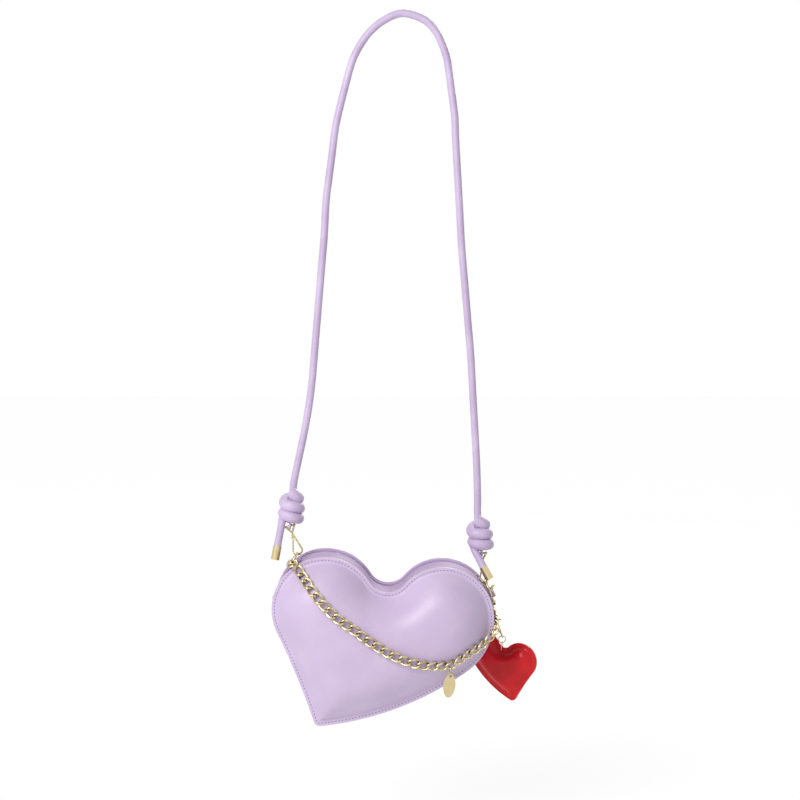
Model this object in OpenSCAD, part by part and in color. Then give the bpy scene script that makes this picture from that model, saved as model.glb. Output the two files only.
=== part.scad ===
// Heart shaped purse: a moulded heart on a knotted cord, with a curb chain, a tag and a small heart charm.
// Units are millimetres, +Z is up and the front faces -Y. The origin is the underside of the cord,
// where it rests on the hook or hand that carries it.

/* [Heart] */
// Distance across between the centres of the two lobes
lobe_gap = 113.2; // [106:0.2:120]
// How far the right lobe's centre lies below the left one's
lobe_drop = 8.1; // [2:0.1:12]
// Radius of the left lobe
left_lobe_r = 50.5; // [47:0.1:53]
// Radius of the right lobe
right_lobe_r = 48.8; // [46:0.1:51]
// Radius of the hollow between the lobes
cleft_r = 20.5; // [15:0.1:28]
// Radius of the fuller stretch below the right lobe
hip_r = 61.6; // [55:0.1:70]
// Direction from the right lobe's centre where that stretch begins, in degrees
hip_angle = 7.5; // [0:0.5:15]
// Depth of the tip's centre below the left lobe's centre
tip_depth = 107.8; // [98:0.2:118]
// How far the tip's centre lies left of the left lobe's centre
tip_out = 5.1; // [0:0.1:10]
// Radius of the rounded tip
tip_r = 5.5; // [5.4:0.1:8]
// Radius of the long right flank
right_flank_r = 293.4; // [250:0.2:380]
// Radius of the slightly hollow left flank
left_flank_r = 728.5; // [500:0.5:1200]

/* [Body] */
// Width of the band between the two panels
band_w = 50; // [44:0.5:64]
// Thickness of the leather of the panels
panel_t = 2; // [1.4:0.1:2.6]
// Thickness of the leather of the band
band_t = 1.8; // [1.2:0.1:2.4]
// How far a panel's edge stands out past the band
rim_out = 1.2; // [0.6:0.1:2]
// Width of the flat stitched edge round the front panel's dome
edge_w = 4.8; // [3.5:0.1:5.2]
// Height of the front panel's dome above its flat edge
dome_h = 26; // [16:0.5:32]
// Distance in from the dome's foot where it is full
dome_reach = 46; // [38:0.5:56]
// How round the dome's shoulder is
dome_power = 2.4; // [1.6:0.1:3.2]
// Thickness of the lining
lining_t = 0.6; // [0.4:0.1:1]
// Thickness of the board that stiffens the back
board_t = 1.4; // [1:0.1:2]
// Gap between neighbouring pieces that don't touch
gap = 0.3; // [0.25:0.01:0.35]
// How far the bag's middle lies behind the line that it hangs on
hang_back = 2.5; // [0:0.1:5]

/* [Zip] */
// How far the zip's middle lies behind the band's middle
zip_y = 15.5; // [14:0.1:16]
// Width of the zip between the two strips of the band
zip_w = 10; // [9:0.1:11]
// Direction from the left lobe's centre of the zip's closed end, in degrees
zip_start_angle = 189; // [186:0.5:190]
// Direction from the right lobe's centre of the zip's other end, in degrees
zip_end_angle = 42; // [40:0.5:60]
// Thickness of the zip's tape
tape_t = 0.7; // [0.5:0.05:0.9]
// How far the tape runs in under the strips
tape_tuck = 3; // [2:0.1:4]
// Width of the row of teeth, both halves
teeth_w = 4; // [3:0.1:5]
// Height of the teeth above the tape
teeth_h = 1.2; // [0.8:0.1:1.5]
// Length of the slider along the zip
slider_len = 10; // [8:0.1:12]
// Width of the slider
slider_w = 6.6; // [6:0.1:7.5]
// Thickness of the slider's plate
slider_t = 1.6; // [1.2:0.1:2]
// Thickness of the slider's bridge and of the pull's wire
bridge_t = 1.2; // [1:0.1:1.4]
// Length of the pull, from its pin to its end
pull_len = 17; // [15:0.5:22]
// Width of the pull's leather tab
pull_w = 6; // [5:0.1:7]

/* [Rings and clips] */
// Radius of the wire of the D rings
ring_wire_r = 1.1; // [0.9:0.05:1.3]
// Width between the legs of a D ring
ring_in_w = 17; // [16:0.1:18]
// Depth of a D ring, from the middle of its bar to the middle of its bow
ring_depth = 14; // [12:0.1:16]
// Clearance of a D ring's bar in its leather loop
ring_fit = 0.08; // [0.05:0.01:0.1]
// Direction from the left lobe's centre of the left ring, in degrees
left_ring_angle = 130.6; // [126:0.2:134]
// Direction from the right lobe's centre of the right ring, in degrees
right_ring_angle = 22; // [18:0.2:28]
// Direction in which the left ring points, in degrees
left_ring_dir = 55.4; // [52:0.2:60]
// Direction in which the right ring points, in degrees
right_ring_dir = 114; // [110:0.2:118]
// Thickness of the leather tabs
tab_t = 2; // [1.8:0.05:2.4]
// Width of the leather tabs
tab_w = 11; // [9:0.1:11.4]
// Length of a tab along the band
tab_len = 21; // [16:0.5:26]
// Radius of the wire of the pear shaped hooks
hook_wire_r = 0.95; // [0.8:0.05:1.1]
// Radius of the round bottom of a hook, to the middle of its wire
hook_r = 4.4; // [4:0.1:5]
// Lean of a hook's long side, in degrees
hook_lean = 15; // [12:0.5:18]
// Height of a hook's neck above its lowest wire
hook_neck = 17.6; // [16:0.1:19]
// Height of the swivel barrel between hook and eye
swivel_h = 3.2; // [2.6:0.1:4]
// Radius of the swivel's barrel
swivel_r = 1.6; // [1.5:0.05:1.7]
// Height of the three sided eye above the swivel
eye_h = 8.2; // [7.4:0.1:9]
// Width of the eye's top bar, to the middle of its wire
eye_w = 9.4; // [8.8:0.1:11]
// Lean of the left clip, in degrees
left_clip_lean = 16.8; // [12:0.2:20]
// Lean of the right clip, in degrees
right_clip_lean = 7.1; // [3:0.2:11]

/* [Strap] */
// Diameter of the cord
cord_d = 7.2; // [6.4:0.1:7.6]
// Turns of cord wound in each knot
knot_turns = 3.4; // [2.4:0.1:3.6]
// Rise of one turn of a knot
knot_pitch = 7.8; // [7.7:0.05:9]
// Thickness of the narrowed end of the cord that holds the eye
tongue_d = 2.2; // [1.8:0.1:2.4]
// Length of the tongue between the knot and the eye's bar
tongue_len = 3; // [2.5:0.1:4]
// Length of cord that shows below the left knot
left_tail_len = 21; // [16:0.5:26]
// Length of cord that shows below the right knot
right_tail_len = 15; // [11:0.5:19]
// Diameter of the metal ends
ferrule_d = 8.2; // [7.9:0.1:9]
// Length of the metal ends
ferrule_len = 13.5; // [10:0.5:16]

/* [Chain] */
// Thickness of the chain's wire
chain_wire = 2.1; // [1.8:0.05:2.2]
// Distance from one link to the next
chain_pitch = 9.1; // [9:0.05:10]
// Width of a link, to the middle of its wire
link_w = 8.2; // [8:0.1:9]
// How far the middle of the chain lies off the leather
chain_stand = 3.7; // [3.5:0.1:5]

/* [Tag and charm] */
// Height of the oval tag
tag_h = 23; // [18:0.5:28]
// Width of the oval tag
tag_w = 11.4; // [9:0.2:14]
// Thickness of the tag
tag_t = 1.2; // [0.8:0.1:1.6]
// Radius of the small jump rings, to the middle of their wire
jump_r = 2.6; // [2.4:0.05:3]
// Thickness of the jump rings' wire
jump_wire = 0.9; // [0.7:0.05:1]
// Distance between the charm's lobe centres
charm_gap = 39.2; // [37:0.1:41]
// Radius of the charm's outer lobe
charm_lobe_r = 17.5; // [16.6:0.1:18.4]
// Radius of the charm's inner lobe
charm_inner_r = 16.9; // [16:0.1:17.6]
// Depth of the charm's tip below its outer lobe
charm_depth = 37.3; // [34:0.1:40]
// Thickness of the charm's leather
charm_t = 1; // [0.8:0.1:1.2]
// Height of the charm's domes
charm_dome_h = 5; // [4:0.1:6]
// Width of the charm's flat edge
charm_edge = 4; // [3:0.1:5]
// Turn of the charm about the upright, in degrees
charm_turn = 29; // [24:0.5:34]
// Tilt of the charm in its own plane, in degrees
charm_tilt = 15.8; // [12:0.2:20]

/* [Hidden] */
$fn = 48;
body_nodes = ["front_panel", "back_panel", "back_board", "back_lining", "inner_pocket", "band",
    "band_lining", "left_tab", "right_tab", "left_d_ring", "right_d_ring"];
zip_nodes = ["front_strip", "rear_strip", "front_zip_tape", "rear_zip_tape", "front_zip_teeth",
    "rear_zip_teeth", "zip_start_stop", "zip_end_stop", "zip_slider", "zip_pull", "zip_pull_tab"];
strap_nodes = ["strap_cord", "left_knot", "right_knot", "left_tongue", "right_tongue", "left_ferrule",
    "right_ferrule", "left_clip_eye", "right_clip_eye"];
clip_nodes = ["left_hook", "right_hook", "left_gate", "right_gate"];
chain_nodes = ["chain_left_ring", "chain_drape", "chain_right_links", "chain_right_ring",
    "tag_upper_ring", "tag_lower_ring", "tag_plate"];
charm_nodes = ["clasp_body", "clasp_lever", "charm_split_ring", "charm_jump_ring", "charm_front",
    "charm_back", "charm_filling"];

leather = "#D3C1E3";
leather_shade = "#BCA6CE";
metal = "#DCCB95";
red_leather = "#CF1F26";
cloth = "#B9A9C6";

// Where the cord enters the left knot
left_end = [-105.8, -446.8];
// Lean of the knots, in degrees
left_knot_lean = 5;
right_knot_lean = 6.3;
// The cord's middle line, from above the left knot up and over to above the right one, as across and up
left_run = [[-104, -435], [-99, -412], [-94, -388], [-90, -365], [-87, -342], [-84, -308], [-81, -273],
    [-78, -239], [-75, -205], [-73, -171], [-70, -148], [-67, -126], [-64, -103], [-59, -81], [-53, -58],
    [-50, -47], [-46, -36], [-40, -25], [-31, -13], [-17, -2]];
top_run = [[0, 4], [20, -2]];
right_run = [[31, -13], [37, -25], [41, -36], [43, -47], [46, -69], [49, -92], [50, -114], [52, -148],
    [54, -182], [56, -216], [59, -250], [62, -285], [65, -319], [67, -354], [69, -388], [71, -423],
    [72, -456]];

function along(a) = [cos(a), sin(a)];
function heading(v) = atan2(v[1], v[0]);
function stand(v, y = 0) = [v[0], y, v[1]];
function wrap(a) = a - 360 * floor(a / 360);
function mix(a, b, t) = a + (b - a) * t;
function unit(v) = v / norm(v);

// Sizes and places that follow from the ones above, in the upright plane, from the strap down
knot_h = knot_turns * knot_pitch + cord_d;
clip_len = hook_neck + swivel_h + eye_h;
ring_seat = hook_wire_r + ring_wire_r + gap;
loop_r = ring_wire_r + ring_fit + tab_t;
left_band_r = left_lobe_r - rim_out;
right_band_r = right_lobe_r - rim_out;
left_up = along(90 + left_clip_lean);
left_eye_bar = left_end - (knot_h + tongue_len) * along(90 - left_knot_lean);
left_pivot = left_eye_bar - clip_len * left_up;
left_apex = left_pivot + ring_seat * left_up;
left_bar = left_apex - ring_depth * along(left_ring_dir);
left_lobe = left_bar - (left_band_r + loop_r) * along(left_ring_angle);
right_lobe = left_lobe + [lobe_gap, -lobe_drop];
right_up = along(90 + right_clip_lean);
right_bar = right_lobe + (right_band_r + loop_r) * along(right_ring_angle);
right_apex = right_bar + ring_depth * along(right_ring_dir);
right_pivot = right_apex - ring_seat * right_up;
right_eye_bar = right_pivot + clip_len * right_up;
right_end = right_eye_bar + (knot_h + tongue_len) * along(90 + right_knot_lean);

// Centre of the circle that lies ra from a and rb from b, on the side that the sign picks
function meet(a, ra, b, rb, side) =
    let (d = b - a, l = norm(d), m = (ra * ra - rb * rb + l * l) / (2 * l))
    a + (d * m + side * sqrt(ra * ra - m * m) * [-d[1], d[0]]) / l;

// Points on an arc, without its last one, turning clockwise when the sweep is negative
function arc(c, r, a, sweep, n) = [for (k = [0 : n - 1]) c + r * along(a + sweep * k / n)];
function swept(c, r, a, b, n) = arc(c, r, a, -wrap(a - b), n);
function swept_back(c, r, a, b, n) = arc(c, r, a, wrap(b - a), n);

// A heart is circles that meet without a corner, measured from its first lobe's centre. Its sizes are the gap
// and the drop between the lobes, the radii of both lobes, the cleft and the hip, the hip's angle, the depth
// and the set of the tip, and the radii of the tip, the second and the first flank
purse = [lobe_gap, lobe_drop, left_lobe_r, right_lobe_r, cleft_r, hip_r, hip_angle, tip_depth, tip_out,
    tip_r, right_flank_r, left_flank_r];
function centres(h) =
    let (first = [0, 0], second = [h[0], -h[1]], tip = [-h[8], -h[7]],
         hip = second + (h[3] - h[5]) * along(h[6]))
    [first, second, tip, hip, meet(first, h[2] + h[4], second, h[3] + h[4], 1),
        meet(hip, h[10] - h[5], tip, h[10] - h[9], -1), meet(tip, h[9] + h[11], first, h[2] + h[11], 1)];

// Its outline moved in by a distance
function outline(h, inset) =
    let (c = centres(h), first = c[0], second = c[1], tip = c[2], hip = c[3], cleft = c[4], flank = c[5],
         hollow = c[6])
    concat(
        swept(first, h[2] - inset, heading(hollow - first), heading(cleft - first), 16),
        swept_back(cleft, h[4] + inset, heading(first - cleft), heading(second - cleft), 7),
        swept(second, h[3] - inset, heading(cleft - second), h[6], 11),
        swept(hip, h[5] - inset, h[6], heading(hip - flank), 5),
        swept(flank, h[10] - inset, heading(hip - flank), heading(tip - flank), 8),
        swept(tip, h[9] - inset, heading(tip - flank), heading(hollow - tip), 5),
        swept_back(hollow, h[11] + inset, heading(tip - hollow), heading(first - hollow), 8));
left_c = [0, 0];
right_c = [lobe_gap, -lobe_drop];
function heart(inset) = outline(purse, inset);

// Distance from a point to the nearest stretch of a closed outline
function side_gap(p, a, b) =
    let (d = b - a, t = max(0, min(1, ((p - a) * d) / (d * d)))) norm(p - a - t * d);
function edge_gap(p, outline) =
    min([for (k = [0 : len(outline) - 1]) side_gap(p, outline[k], outline[(k + 1) % len(outline)])]);

// Height of a dome over a point of its outline's plane
foot_power = 1.15;
function rise(p, foot, reach, height) = let (u = min(1, edge_gap(p, foot) / reach))
    height * pow(1 - pow(1 - u, dome_power), foot_power);
foot = heart(edge_w);
dome_mid_shares = [0.5, 0.37];
dome_mid = [lobe_gap * dome_mid_shares[0], -tip_depth * dome_mid_shares[1]];
function dome(p) = rise(p, foot, dome_reach, dome_h);
slope_step = 2;
function dome_slope(p) = let (e = slope_step)
    [dome(p + [e, 0]) - dome(p - [e, 0]), dome(p + [0, e]) - dome(p - [0, e])] / (2 * e);

// A plate in the upright plane, from y on back
module plate(y, depth) {
    translate([0, y + depth, 0])
        rotate([90, 0, 0])
            linear_extrude(height = depth)
                children();
}

module ring_2d(inset, thickness) {
    difference() {
        polygon(heart(inset));
        polygon(heart(inset + thickness));
    }
}

// The part of the upright plane that the zip's stretch of the band lies in
zone_far = 3 * lobe_gap;
module zip_zone_2d() {
    polygon([left_c, zone_far * along(zip_start_angle), [-zone_far, zone_far], [zone_far, zone_far],
        right_c + zone_far * along(zip_end_angle), right_c]);
}

// A short piece of a ring round a lobe's centre
module ring_piece(c, r, thickness, mid, half, y, width) {
    reach = 2 * (r + thickness);
    plate(y, width)
        intersection() {
            difference() {
                translate(c) circle(r + thickness, $fn = 180);
                translate(c) circle(r, $fn = 180);
            }
            polygon([c, c + reach * along(mid - half), c + reach * along(mid + half)]);
        }
}

// A solid between loops of points: outer and inner heights over the same outlines, closed by a middle point
module shell(loops, outer, inner, mid, mid_outer, mid_inner) {
    n = len(loops[0]);
    rings = len(loops);
    inner_start = n * rings + 1;
    points = concat(
        [for (j = [0 : rings - 1]) for (k = [0 : n - 1]) stand(loops[j][k], outer[j][k])],
        [stand(mid, mid_outer)],
        [for (j = [0 : rings - 1]) for (k = [0 : n - 1]) stand(loops[j][k], inner[j][k])],
        [stand(mid, mid_inner)]);
    faces = concat(
        [for (j = [0 : rings - 2]) for (k = [0 : n - 1]) let (a = j * n + k, b = j * n + (k + 1) % n)
            each [[a, b, b + n], [a, b + n, a + n]]],
        [for (k = [0 : n - 1]) [(rings - 1) * n + k, (rings - 1) * n + (k + 1) % n, rings * n]],
        [for (j = [0 : rings - 2]) for (k = [0 : n - 1])
            let (a = inner_start + j * n + k, b = inner_start + j * n + (k + 1) % n)
            each [[a, b + n, b], [a, a + n, b + n]]],
        [for (k = [0 : n - 1]) [inner_start + (rings - 1) * n + k, inner_start + rings * n,
            inner_start + (rings - 1) * n + (k + 1) % n]],
        [for (k = [0 : n - 1]) each [[k, inner_start + k, inner_start + (k + 1) % n],
            [k, inner_start + (k + 1) % n, (k + 1) % n]]]);
    polyhedron(points, faces);
}

// A round tube along a list of points, each ring of it set against its own reference direction
function tangent(path, k) = unit(path[min(k + 1, len(path) - 1)] - path[max(k - 1, 0)]);
module tube(path, refs, radius, sides) {
    n = len(path);
    points = [for (k = [0 : n - 1]) let (t = tangent(path, k), u = unit(cross(t, refs[k])), v = cross(t, u))
        for (s = [0 : sides - 1]) path[k] + radius * (cos(360 * s / sides) * u + sin(360 * s / sides) * v)];
    faces = concat(
        [for (k = [0 : n - 2]) for (s = [0 : sides - 1])
            let (a = k * sides + s, b = k * sides + (s + 1) % sides)
            each [[a, b + sides, b], [a, a + sides, b + sides]]],
        [[for (s = [0 : sides - 1]) s]],
        [[for (s = [sides - 1 : -1 : 0]) (n - 1) * sides + s]]);
    polyhedron(points, faces);
}

// A closed round tube, each ring of it set against its own reference direction
module loop_tube(path, refs, radius, sides) {
    n = len(path);
    points = [for (k = [0 : n - 1])
        let (t = unit(path[(k + 1) % n] - path[(k + n - 1) % n]), u = unit(cross(t, refs[k])),
             v = cross(t, u))
        for (s = [0 : sides - 1]) path[k] + radius * (cos(360 * s / sides) * u + sin(360 * s / sides) * v)];
    faces = [for (k = [0 : n - 1]) for (s = [0 : sides - 1])
        let (a = k * sides + s, b = k * sides + (s + 1) % sides,
             c = ((k + 1) % n) * sides + s, d = ((k + 1) % n) * sides + (s + 1) % sides)
        each [[a, d, b], [a, c, d]]];
    polyhedron(points, faces);
}

// A straight round wire between two points, a wire ring and a pin along Y
module rod(a, b, r) {
    d = b - a;
    translate(a)
        rotate([0, acos(d[2] / norm(d)), atan2(d[1], d[0])])
            cylinder(r = r, h = norm(d));
}
module wire_ring(r, wire_r) {
    rotate_extrude(convexity = 4)
        translate([r, 0])
            circle(wire_r, $fn = 24);
}
module half_ring(r, wire_r, sweep = 180) {
    rotate_extrude(angle = sweep, convexity = 4)
        translate([r, 0])
            circle(wire_r, $fn = 24);
}
module cross_pin(r, half) {
    rotate([90, 0, 0])
        cylinder(r = r, h = 2 * half, center = true);
}

// Everything that belongs to the bag is measured from the left lobe's centre, in the middle of the band
bag_origin = stand(left_lobe, hang_back);
module in_bag() {
    translate(bag_origin)
        children();
}
front_y = -band_w / 2 - panel_t;
inside = rim_out + band_t;
ring_shares = [0.06, 0.13, 0.22, 0.33, 0.46, 0.62, 0.8];

module front_panel() {
    loops = concat([heart(0), foot], [for (s = ring_shares) [for (p = foot) mix(p, dome_mid, s)]]);
    outer = [for (j = [0 : len(loops) - 1]) [for (p = loops[j]) front_y - (j < 2 ? 0 : dome(p))]];
    inner = [for (ring = outer) [for (y = ring) y + panel_t]];
    top = front_y - dome(dome_mid);
    color(leather)
        in_bag()
            shell(loops, outer, inner, dome_mid, top, top + panel_t);
}
module back_panel() {
    color(leather)
        in_bag()
            plate(band_w / 2, panel_t) polygon(heart(0));
}
module back_board() {
    color(cloth)
        in_bag()
            plate(band_w / 2 - board_t, board_t) polygon(heart(inside + gap));
}
module back_lining() {
    color(cloth)
        in_bag()
            plate(band_w / 2 - board_t - lining_t, lining_t) polygon(heart(inside + gap));
}
// A flat slip pocket on the back, open along its straight top
pocket_drop = 14;
pocket_inset = 5.2;
module inner_pocket() {
    color(leather_shade)
        in_bag()
            plate(band_w / 2 - board_t - 2 * lining_t, lining_t)
                intersection() {
                    polygon(heart(pocket_inset));
                    translate([-lobe_gap, -tip_depth - zone_far - pocket_drop])
                        square([zone_far, tip_depth + zone_far]);
                }
}
module band() {
    color(leather_shade)
        in_bag()
            plate(-band_w / 2, band_w)
                difference() {
                    ring_2d(rim_out, band_t);
                    zip_zone_2d();
                }
}
module band_lining() {
    color(cloth)
        in_bag()
            plate(-band_w / 2, band_w - board_t - lining_t)
                difference() {
                    ring_2d(inside, lining_t);
                    zip_zone_2d();
                }
}

// A leather strip on the band with a loop that holds a ring's bar
module tab(c, r, angle) {
    half = tab_len / (2 * r) * 180 / PI;
    difference() {
        union() {
            ring_piece(c, r, tab_t, angle, half, -hang_back - tab_w / 2, tab_w);
            translate(stand(c + (r + loop_r) * along(angle), -hang_back))
                cross_pin(loop_r, tab_w / 2);
        }
        translate(stand(c + (r + loop_r) * along(angle), -hang_back))
            cross_pin(ring_wire_r + ring_fit, tab_w);
    }
}
module left_tab() {
    color(leather_shade) in_bag() tab(left_c, left_band_r, left_ring_angle);
}
module right_tab() {
    color(leather_shade) in_bag() tab(right_c, right_band_r, right_ring_angle);
}

// A D ring: its bar lies across the band and its bow points along a direction
leg_y = ring_in_w / 2 + ring_wire_r;
leg_h = ring_depth - leg_y;
module d_ring(bar, dir) {
    color(metal)
        translate(stand(bar))
            rotate([0, 90 - dir, 0]) {
                cross_pin(ring_wire_r, leg_y);
                for (side = [-1, 1])
                    translate([0, side * leg_y, 0]) {
                        sphere(ring_wire_r);
                        cylinder(r = ring_wire_r, h = leg_h);
                    }
                translate([0, 0, leg_h])
                    rotate([90, 0, 90])
                        half_ring(leg_y, ring_wire_r);
            }
}
module left_d_ring() { d_ring(left_bar, left_ring_dir); }
module right_d_ring() { d_ring(right_bar, right_ring_dir); }

// The band over the top: two strips with the zip between them
front_edge = zip_y - zip_w / 2;
rear_edge = zip_y + zip_w / 2;
zip_seam = 0.1;
module zip_part(y, width, inset, thickness) {
    in_bag()
        plate(y, width)
            intersection() {
                ring_2d(inset, thickness);
                zip_zone_2d();
            }
}
module front_strip() {
    color(leather_shade) zip_part(-band_w / 2, front_edge + band_w / 2, rim_out, band_t);
}
module rear_strip() {
    color(leather_shade) zip_part(rear_edge, band_w / 2 - rear_edge, rim_out, band_t);
}
tape_run = zip_w / 2 + tape_tuck - zip_seam / 2;
module front_zip_tape() {
    color(leather) zip_part(zip_y - zip_w / 2 - tape_tuck, tape_run, inside, tape_t);
}
module rear_zip_tape() {
    reach = min(tape_run, band_w / 2 - board_t - lining_t - zip_y - zip_seam / 2 - gap);
    color(leather) zip_part(zip_y + zip_seam / 2, reach, inside, tape_t);
}
teeth_run = (teeth_w - zip_seam) / 2;
module front_zip_teeth() {
    color(leather_shade) zip_part(zip_y - teeth_w / 2, teeth_run, inside - teeth_h, teeth_h);
}
module rear_zip_teeth() {
    color(leather_shade) zip_part(zip_y + zip_seam / 2, teeth_run, inside - teeth_h, teeth_h);
}

// Small metal stops over the teeth at both ends of the zip
stop_len = 2.2;
stop_in = 3.2;
stop_t = 0.8;
module zip_stop(c, r, angle, side) {
    half = stop_len / (2 * r) * 180 / PI;
    mid = angle + side * stop_in / r * 180 / PI;
    color(metal)
        in_bag()
            ring_piece(c, r - band_t + teeth_h, stop_t, mid, half, zip_y - teeth_w / 2, teeth_w);
}
module zip_start_stop() { zip_stop(left_c, left_band_r, zip_start_angle, -1); }
module zip_end_stop() { zip_stop(right_c, right_band_r, zip_end_angle, 1); }

// The slider rides over the teeth; its pull hangs from a pin in its bridge
slider_r = left_band_r - band_t + teeth_h + gap;
slider_top = slider_r + slider_t;
slider_half = slider_len / (2 * slider_r) * 180 / PI;
slider_angle = zip_start_angle - (stop_in + stop_len / 2 + gap) / slider_r * 180 / PI - slider_half;
pin_r = bridge_t / 2;
bridge_w = 2 * bridge_t;
pin_at = left_c + (slider_top + gap + pin_r + ring_fit) * along(slider_angle);
module zip_slider() {
    bridge_half = slider_half / 2;
    bridge_h = gap + 2 * (pin_r + ring_fit) + bridge_t / 2;
    color(metal)
        in_bag()
            difference() {
                union() {
                    ring_piece(left_c, slider_r, slider_t, slider_angle, slider_half,
                        zip_y - slider_w / 2, slider_w);
                    ring_piece(left_c, slider_r, slider_t + bridge_h, slider_angle, bridge_half,
                        zip_y - bridge_w / 2, bridge_w);
                }
                translate(stand(pin_at, zip_y))
                    cross_pin(pin_r + ring_fit, slider_w);
            }
}
arm_share = 0.45;
arm_len = pull_len * arm_share;
module zip_pull() {
    arm_y = bridge_w / 2 + gap + pin_r;
    color(metal)
        in_bag()
            translate(stand(pin_at, zip_y)) {
                cross_pin(pin_r, arm_y);
                for (side = [-1, 1])
                    translate([0, side * arm_y, 0]) {
                        sphere(pin_r);
                        rod([0, 0, 0], [0, 0, -arm_len], pin_r);
                        translate([0, 0, -arm_len]) sphere(pin_r);
                    }
                translate([0, 0, -arm_len])
                    cross_pin(pin_r, arm_y);
            }
}
// A leather tab folded round the pull's lower wire
module zip_pull_tab() {
    half = bridge_w / 2 + gap / 2;
    shoulder = arm_len + 2 * bridge_t;
    color(leather)
        in_bag()
            translate(stand(pin_at, zip_y))
                difference() {
                    union() {
                        translate([0, 0, -arm_len])
                            cross_pin(bridge_t, half);
                        translate([-pin_r, -half, -shoulder])
                            cube([bridge_t, 2 * half, shoulder - arm_len]);
                        translate([-pin_r, -pull_w / 2, -pull_len])
                            cube([bridge_t, pull_w, pull_len - shoulder]);
                    }
                    translate([0, 0, -arm_len])
                        cross_pin(pin_r + ring_fit, pull_w);
                }
}

// A smooth line through points, each stretch cut in n steps
function spline(p, n) = concat([for (i = [0 : len(p) - 2]) for (j = [0 : n - 1])
    let (a = p[max(i - 1, 0)], b = p[i], c = p[i + 1], d = p[min(i + 2, len(p) - 1)], t = j / n)
    (2 * b + (c - a) * t + (2 * a - 5 * b + 4 * c - d) * t * t + (3 * b - a - 3 * c + d) * t * t * t) / 2],
    [p[len(p) - 1]]);

left_knot_up = along(90 - left_knot_lean);
right_knot_up = along(90 + right_knot_lean);
left_knot_foot = left_eye_bar + tongue_len * left_knot_up;
right_knot_foot = right_eye_bar + tongue_len * right_knot_up;
cord_sides = 10;
module strap_cord() {
    run = spline(concat([left_end], left_run, top_run, right_run, [right_end]), 2);
    line = concat([left_knot_foot], run, [right_knot_foot]);
    color(leather)
        tube([for (p = line) stand(p)], [for (p = line) [0, 1, 0]], cord_d / 2, cord_sides);
}

// A knot: one tube of cord wound round the strap's end, then bent down into the loose tail
knot_r = cord_d + gap;
turn_steps = 20;
knot_sides = 8;
bend = 5;
left_tail = unit([-0.1, -0.06, -1]);
right_tail = unit([0.4, -0.16, -1]);
wound_end = [-knot_r, 0, cord_d / 2];
function bend_point(tail, t) = let (mid = wound_end - [0, bend, 0], last = mid + bend * tail)
    mix(mix(wound_end, mid, t), mix(mid, last, t), t);
function knot_path(tail, len_tail) = let (steps = floor(knot_turns * turn_steps)) concat(
    [for (k = [0 : steps]) let (a = 180 - 360 * knot_turns * (1 - k / steps))
        [knot_r * cos(a), knot_r * sin(a), cord_d / 2 + knot_turns * knot_pitch * (1 - k / steps)]],
    [for (k = [1 : 4]) bend_point(tail, k / 4)],
    [bend_point(tail, 1) + (len_tail + ferrule_len / 2) * tail]);
module at_knot(foot_at, lean) {
    translate(stand(foot_at))
        rotate([0, -lean, 0])
            children();
}
function knot_refs(count) = [for (k = [0 : count - 1])
    let (f = max(0, min(1, (k - count + 6) / 4))) unit([0, -f, 1 - f])];
module knot(tail, len_tail) {
    path = knot_path(tail, len_tail);
    color(leather)
        tube(path, knot_refs(len(path)), cord_d / 2, knot_sides);
}
turn_path = knot_path(left_tail, 0);
turn_gaps = [for (k = [0 : turn_steps]) norm(turn_path[k] - turn_path[k + turn_steps])];
least = min(turn_gaps);
echo("least gap of a knot's cord to itself", least - cord_d);
module left_knot() { at_knot(left_knot_foot, -left_knot_lean) knot(left_tail, left_tail_len); }
module right_knot() { at_knot(right_knot_foot, right_knot_lean) knot(right_tail, right_tail_len); }

// The cord's narrowed end, bent under the eye's bar
tongue_fit = 0.15;
tongue_r = hook_wire_r + tongue_fit + tongue_d / 2;
module tongue(bar, lean) {
    color(leather)
        translate(stand(bar))
            rotate([0, -lean, 0]) {
                rotate([-90, 0, 90])
                    half_ring(tongue_r, tongue_d / 2);
                for (side = [-1, 1])
                    translate([0, side * tongue_r, 0])
                        cylinder(d = tongue_d, h = tongue_len);
            }
}
module left_tongue() { tongue(left_eye_bar, -left_knot_lean); }
module right_tongue() { tongue(right_eye_bar, right_knot_lean); }

// The metal cup on the end of a tail
ferrule_fit = 0.05;
module ferrule(tail, len_tail) {
    bottom = bend_point(tail, 1) + (len_tail + ferrule_len) * tail;
    top = bend_point(tail, 1) + len_tail * tail;
    floor_at = bottom - (ferrule_len / 2 - gap) * tail;
    color(metal)
        difference() {
            rod(top, bottom, ferrule_d / 2);
            rod(top - gap * tail, floor_at, cord_d / 2 + ferrule_fit);
        }
}
module left_ferrule() { at_knot(left_knot_foot, -left_knot_lean) ferrule(left_tail, left_tail_len); }
module right_ferrule() { at_knot(right_knot_foot, right_knot_lean) ferrule(right_tail, right_tail_len); }

// A swivel clip, drawn upright from the middle of its lowest wire: the eye, the hook and the gate
eye_foot = hook_neck + swivel_h + gap + hook_wire_r;
module at_clip(pivot, lean) {
    translate(stand(pivot))
        rotate([0, -lean, 0])
            children();
}
module clip_eye() {
    corner = [eye_w / 2, 0, clip_len];
    color(metal) {
        rod([-eye_w / 2, 0, clip_len], corner, hook_wire_r);
        for (side = [-1, 1]) {
            end = [side * corner[0], 0, corner[2]];
            rod([0, 0, eye_foot], end, hook_wire_r);
            translate(end) sphere(hook_wire_r);
        }
        translate([0, 0, eye_foot]) sphere(hook_wire_r);
    }
}
neck_h = 2.8;
neck_half = 2.2;
neck_roof = 0.6;
neck_sink = 0.9;
nose_angle = 174;
side_len = (hook_neck - neck_sink - hook_r - hook_r * sin(hook_lean)) / cos(hook_lean);
gate_pin_r = 0.5;
gate_pin_fit = 0.05;
gate_pin_share = 0.7;
gate_r = 0.75;
gate_eye_r = 1;
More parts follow.
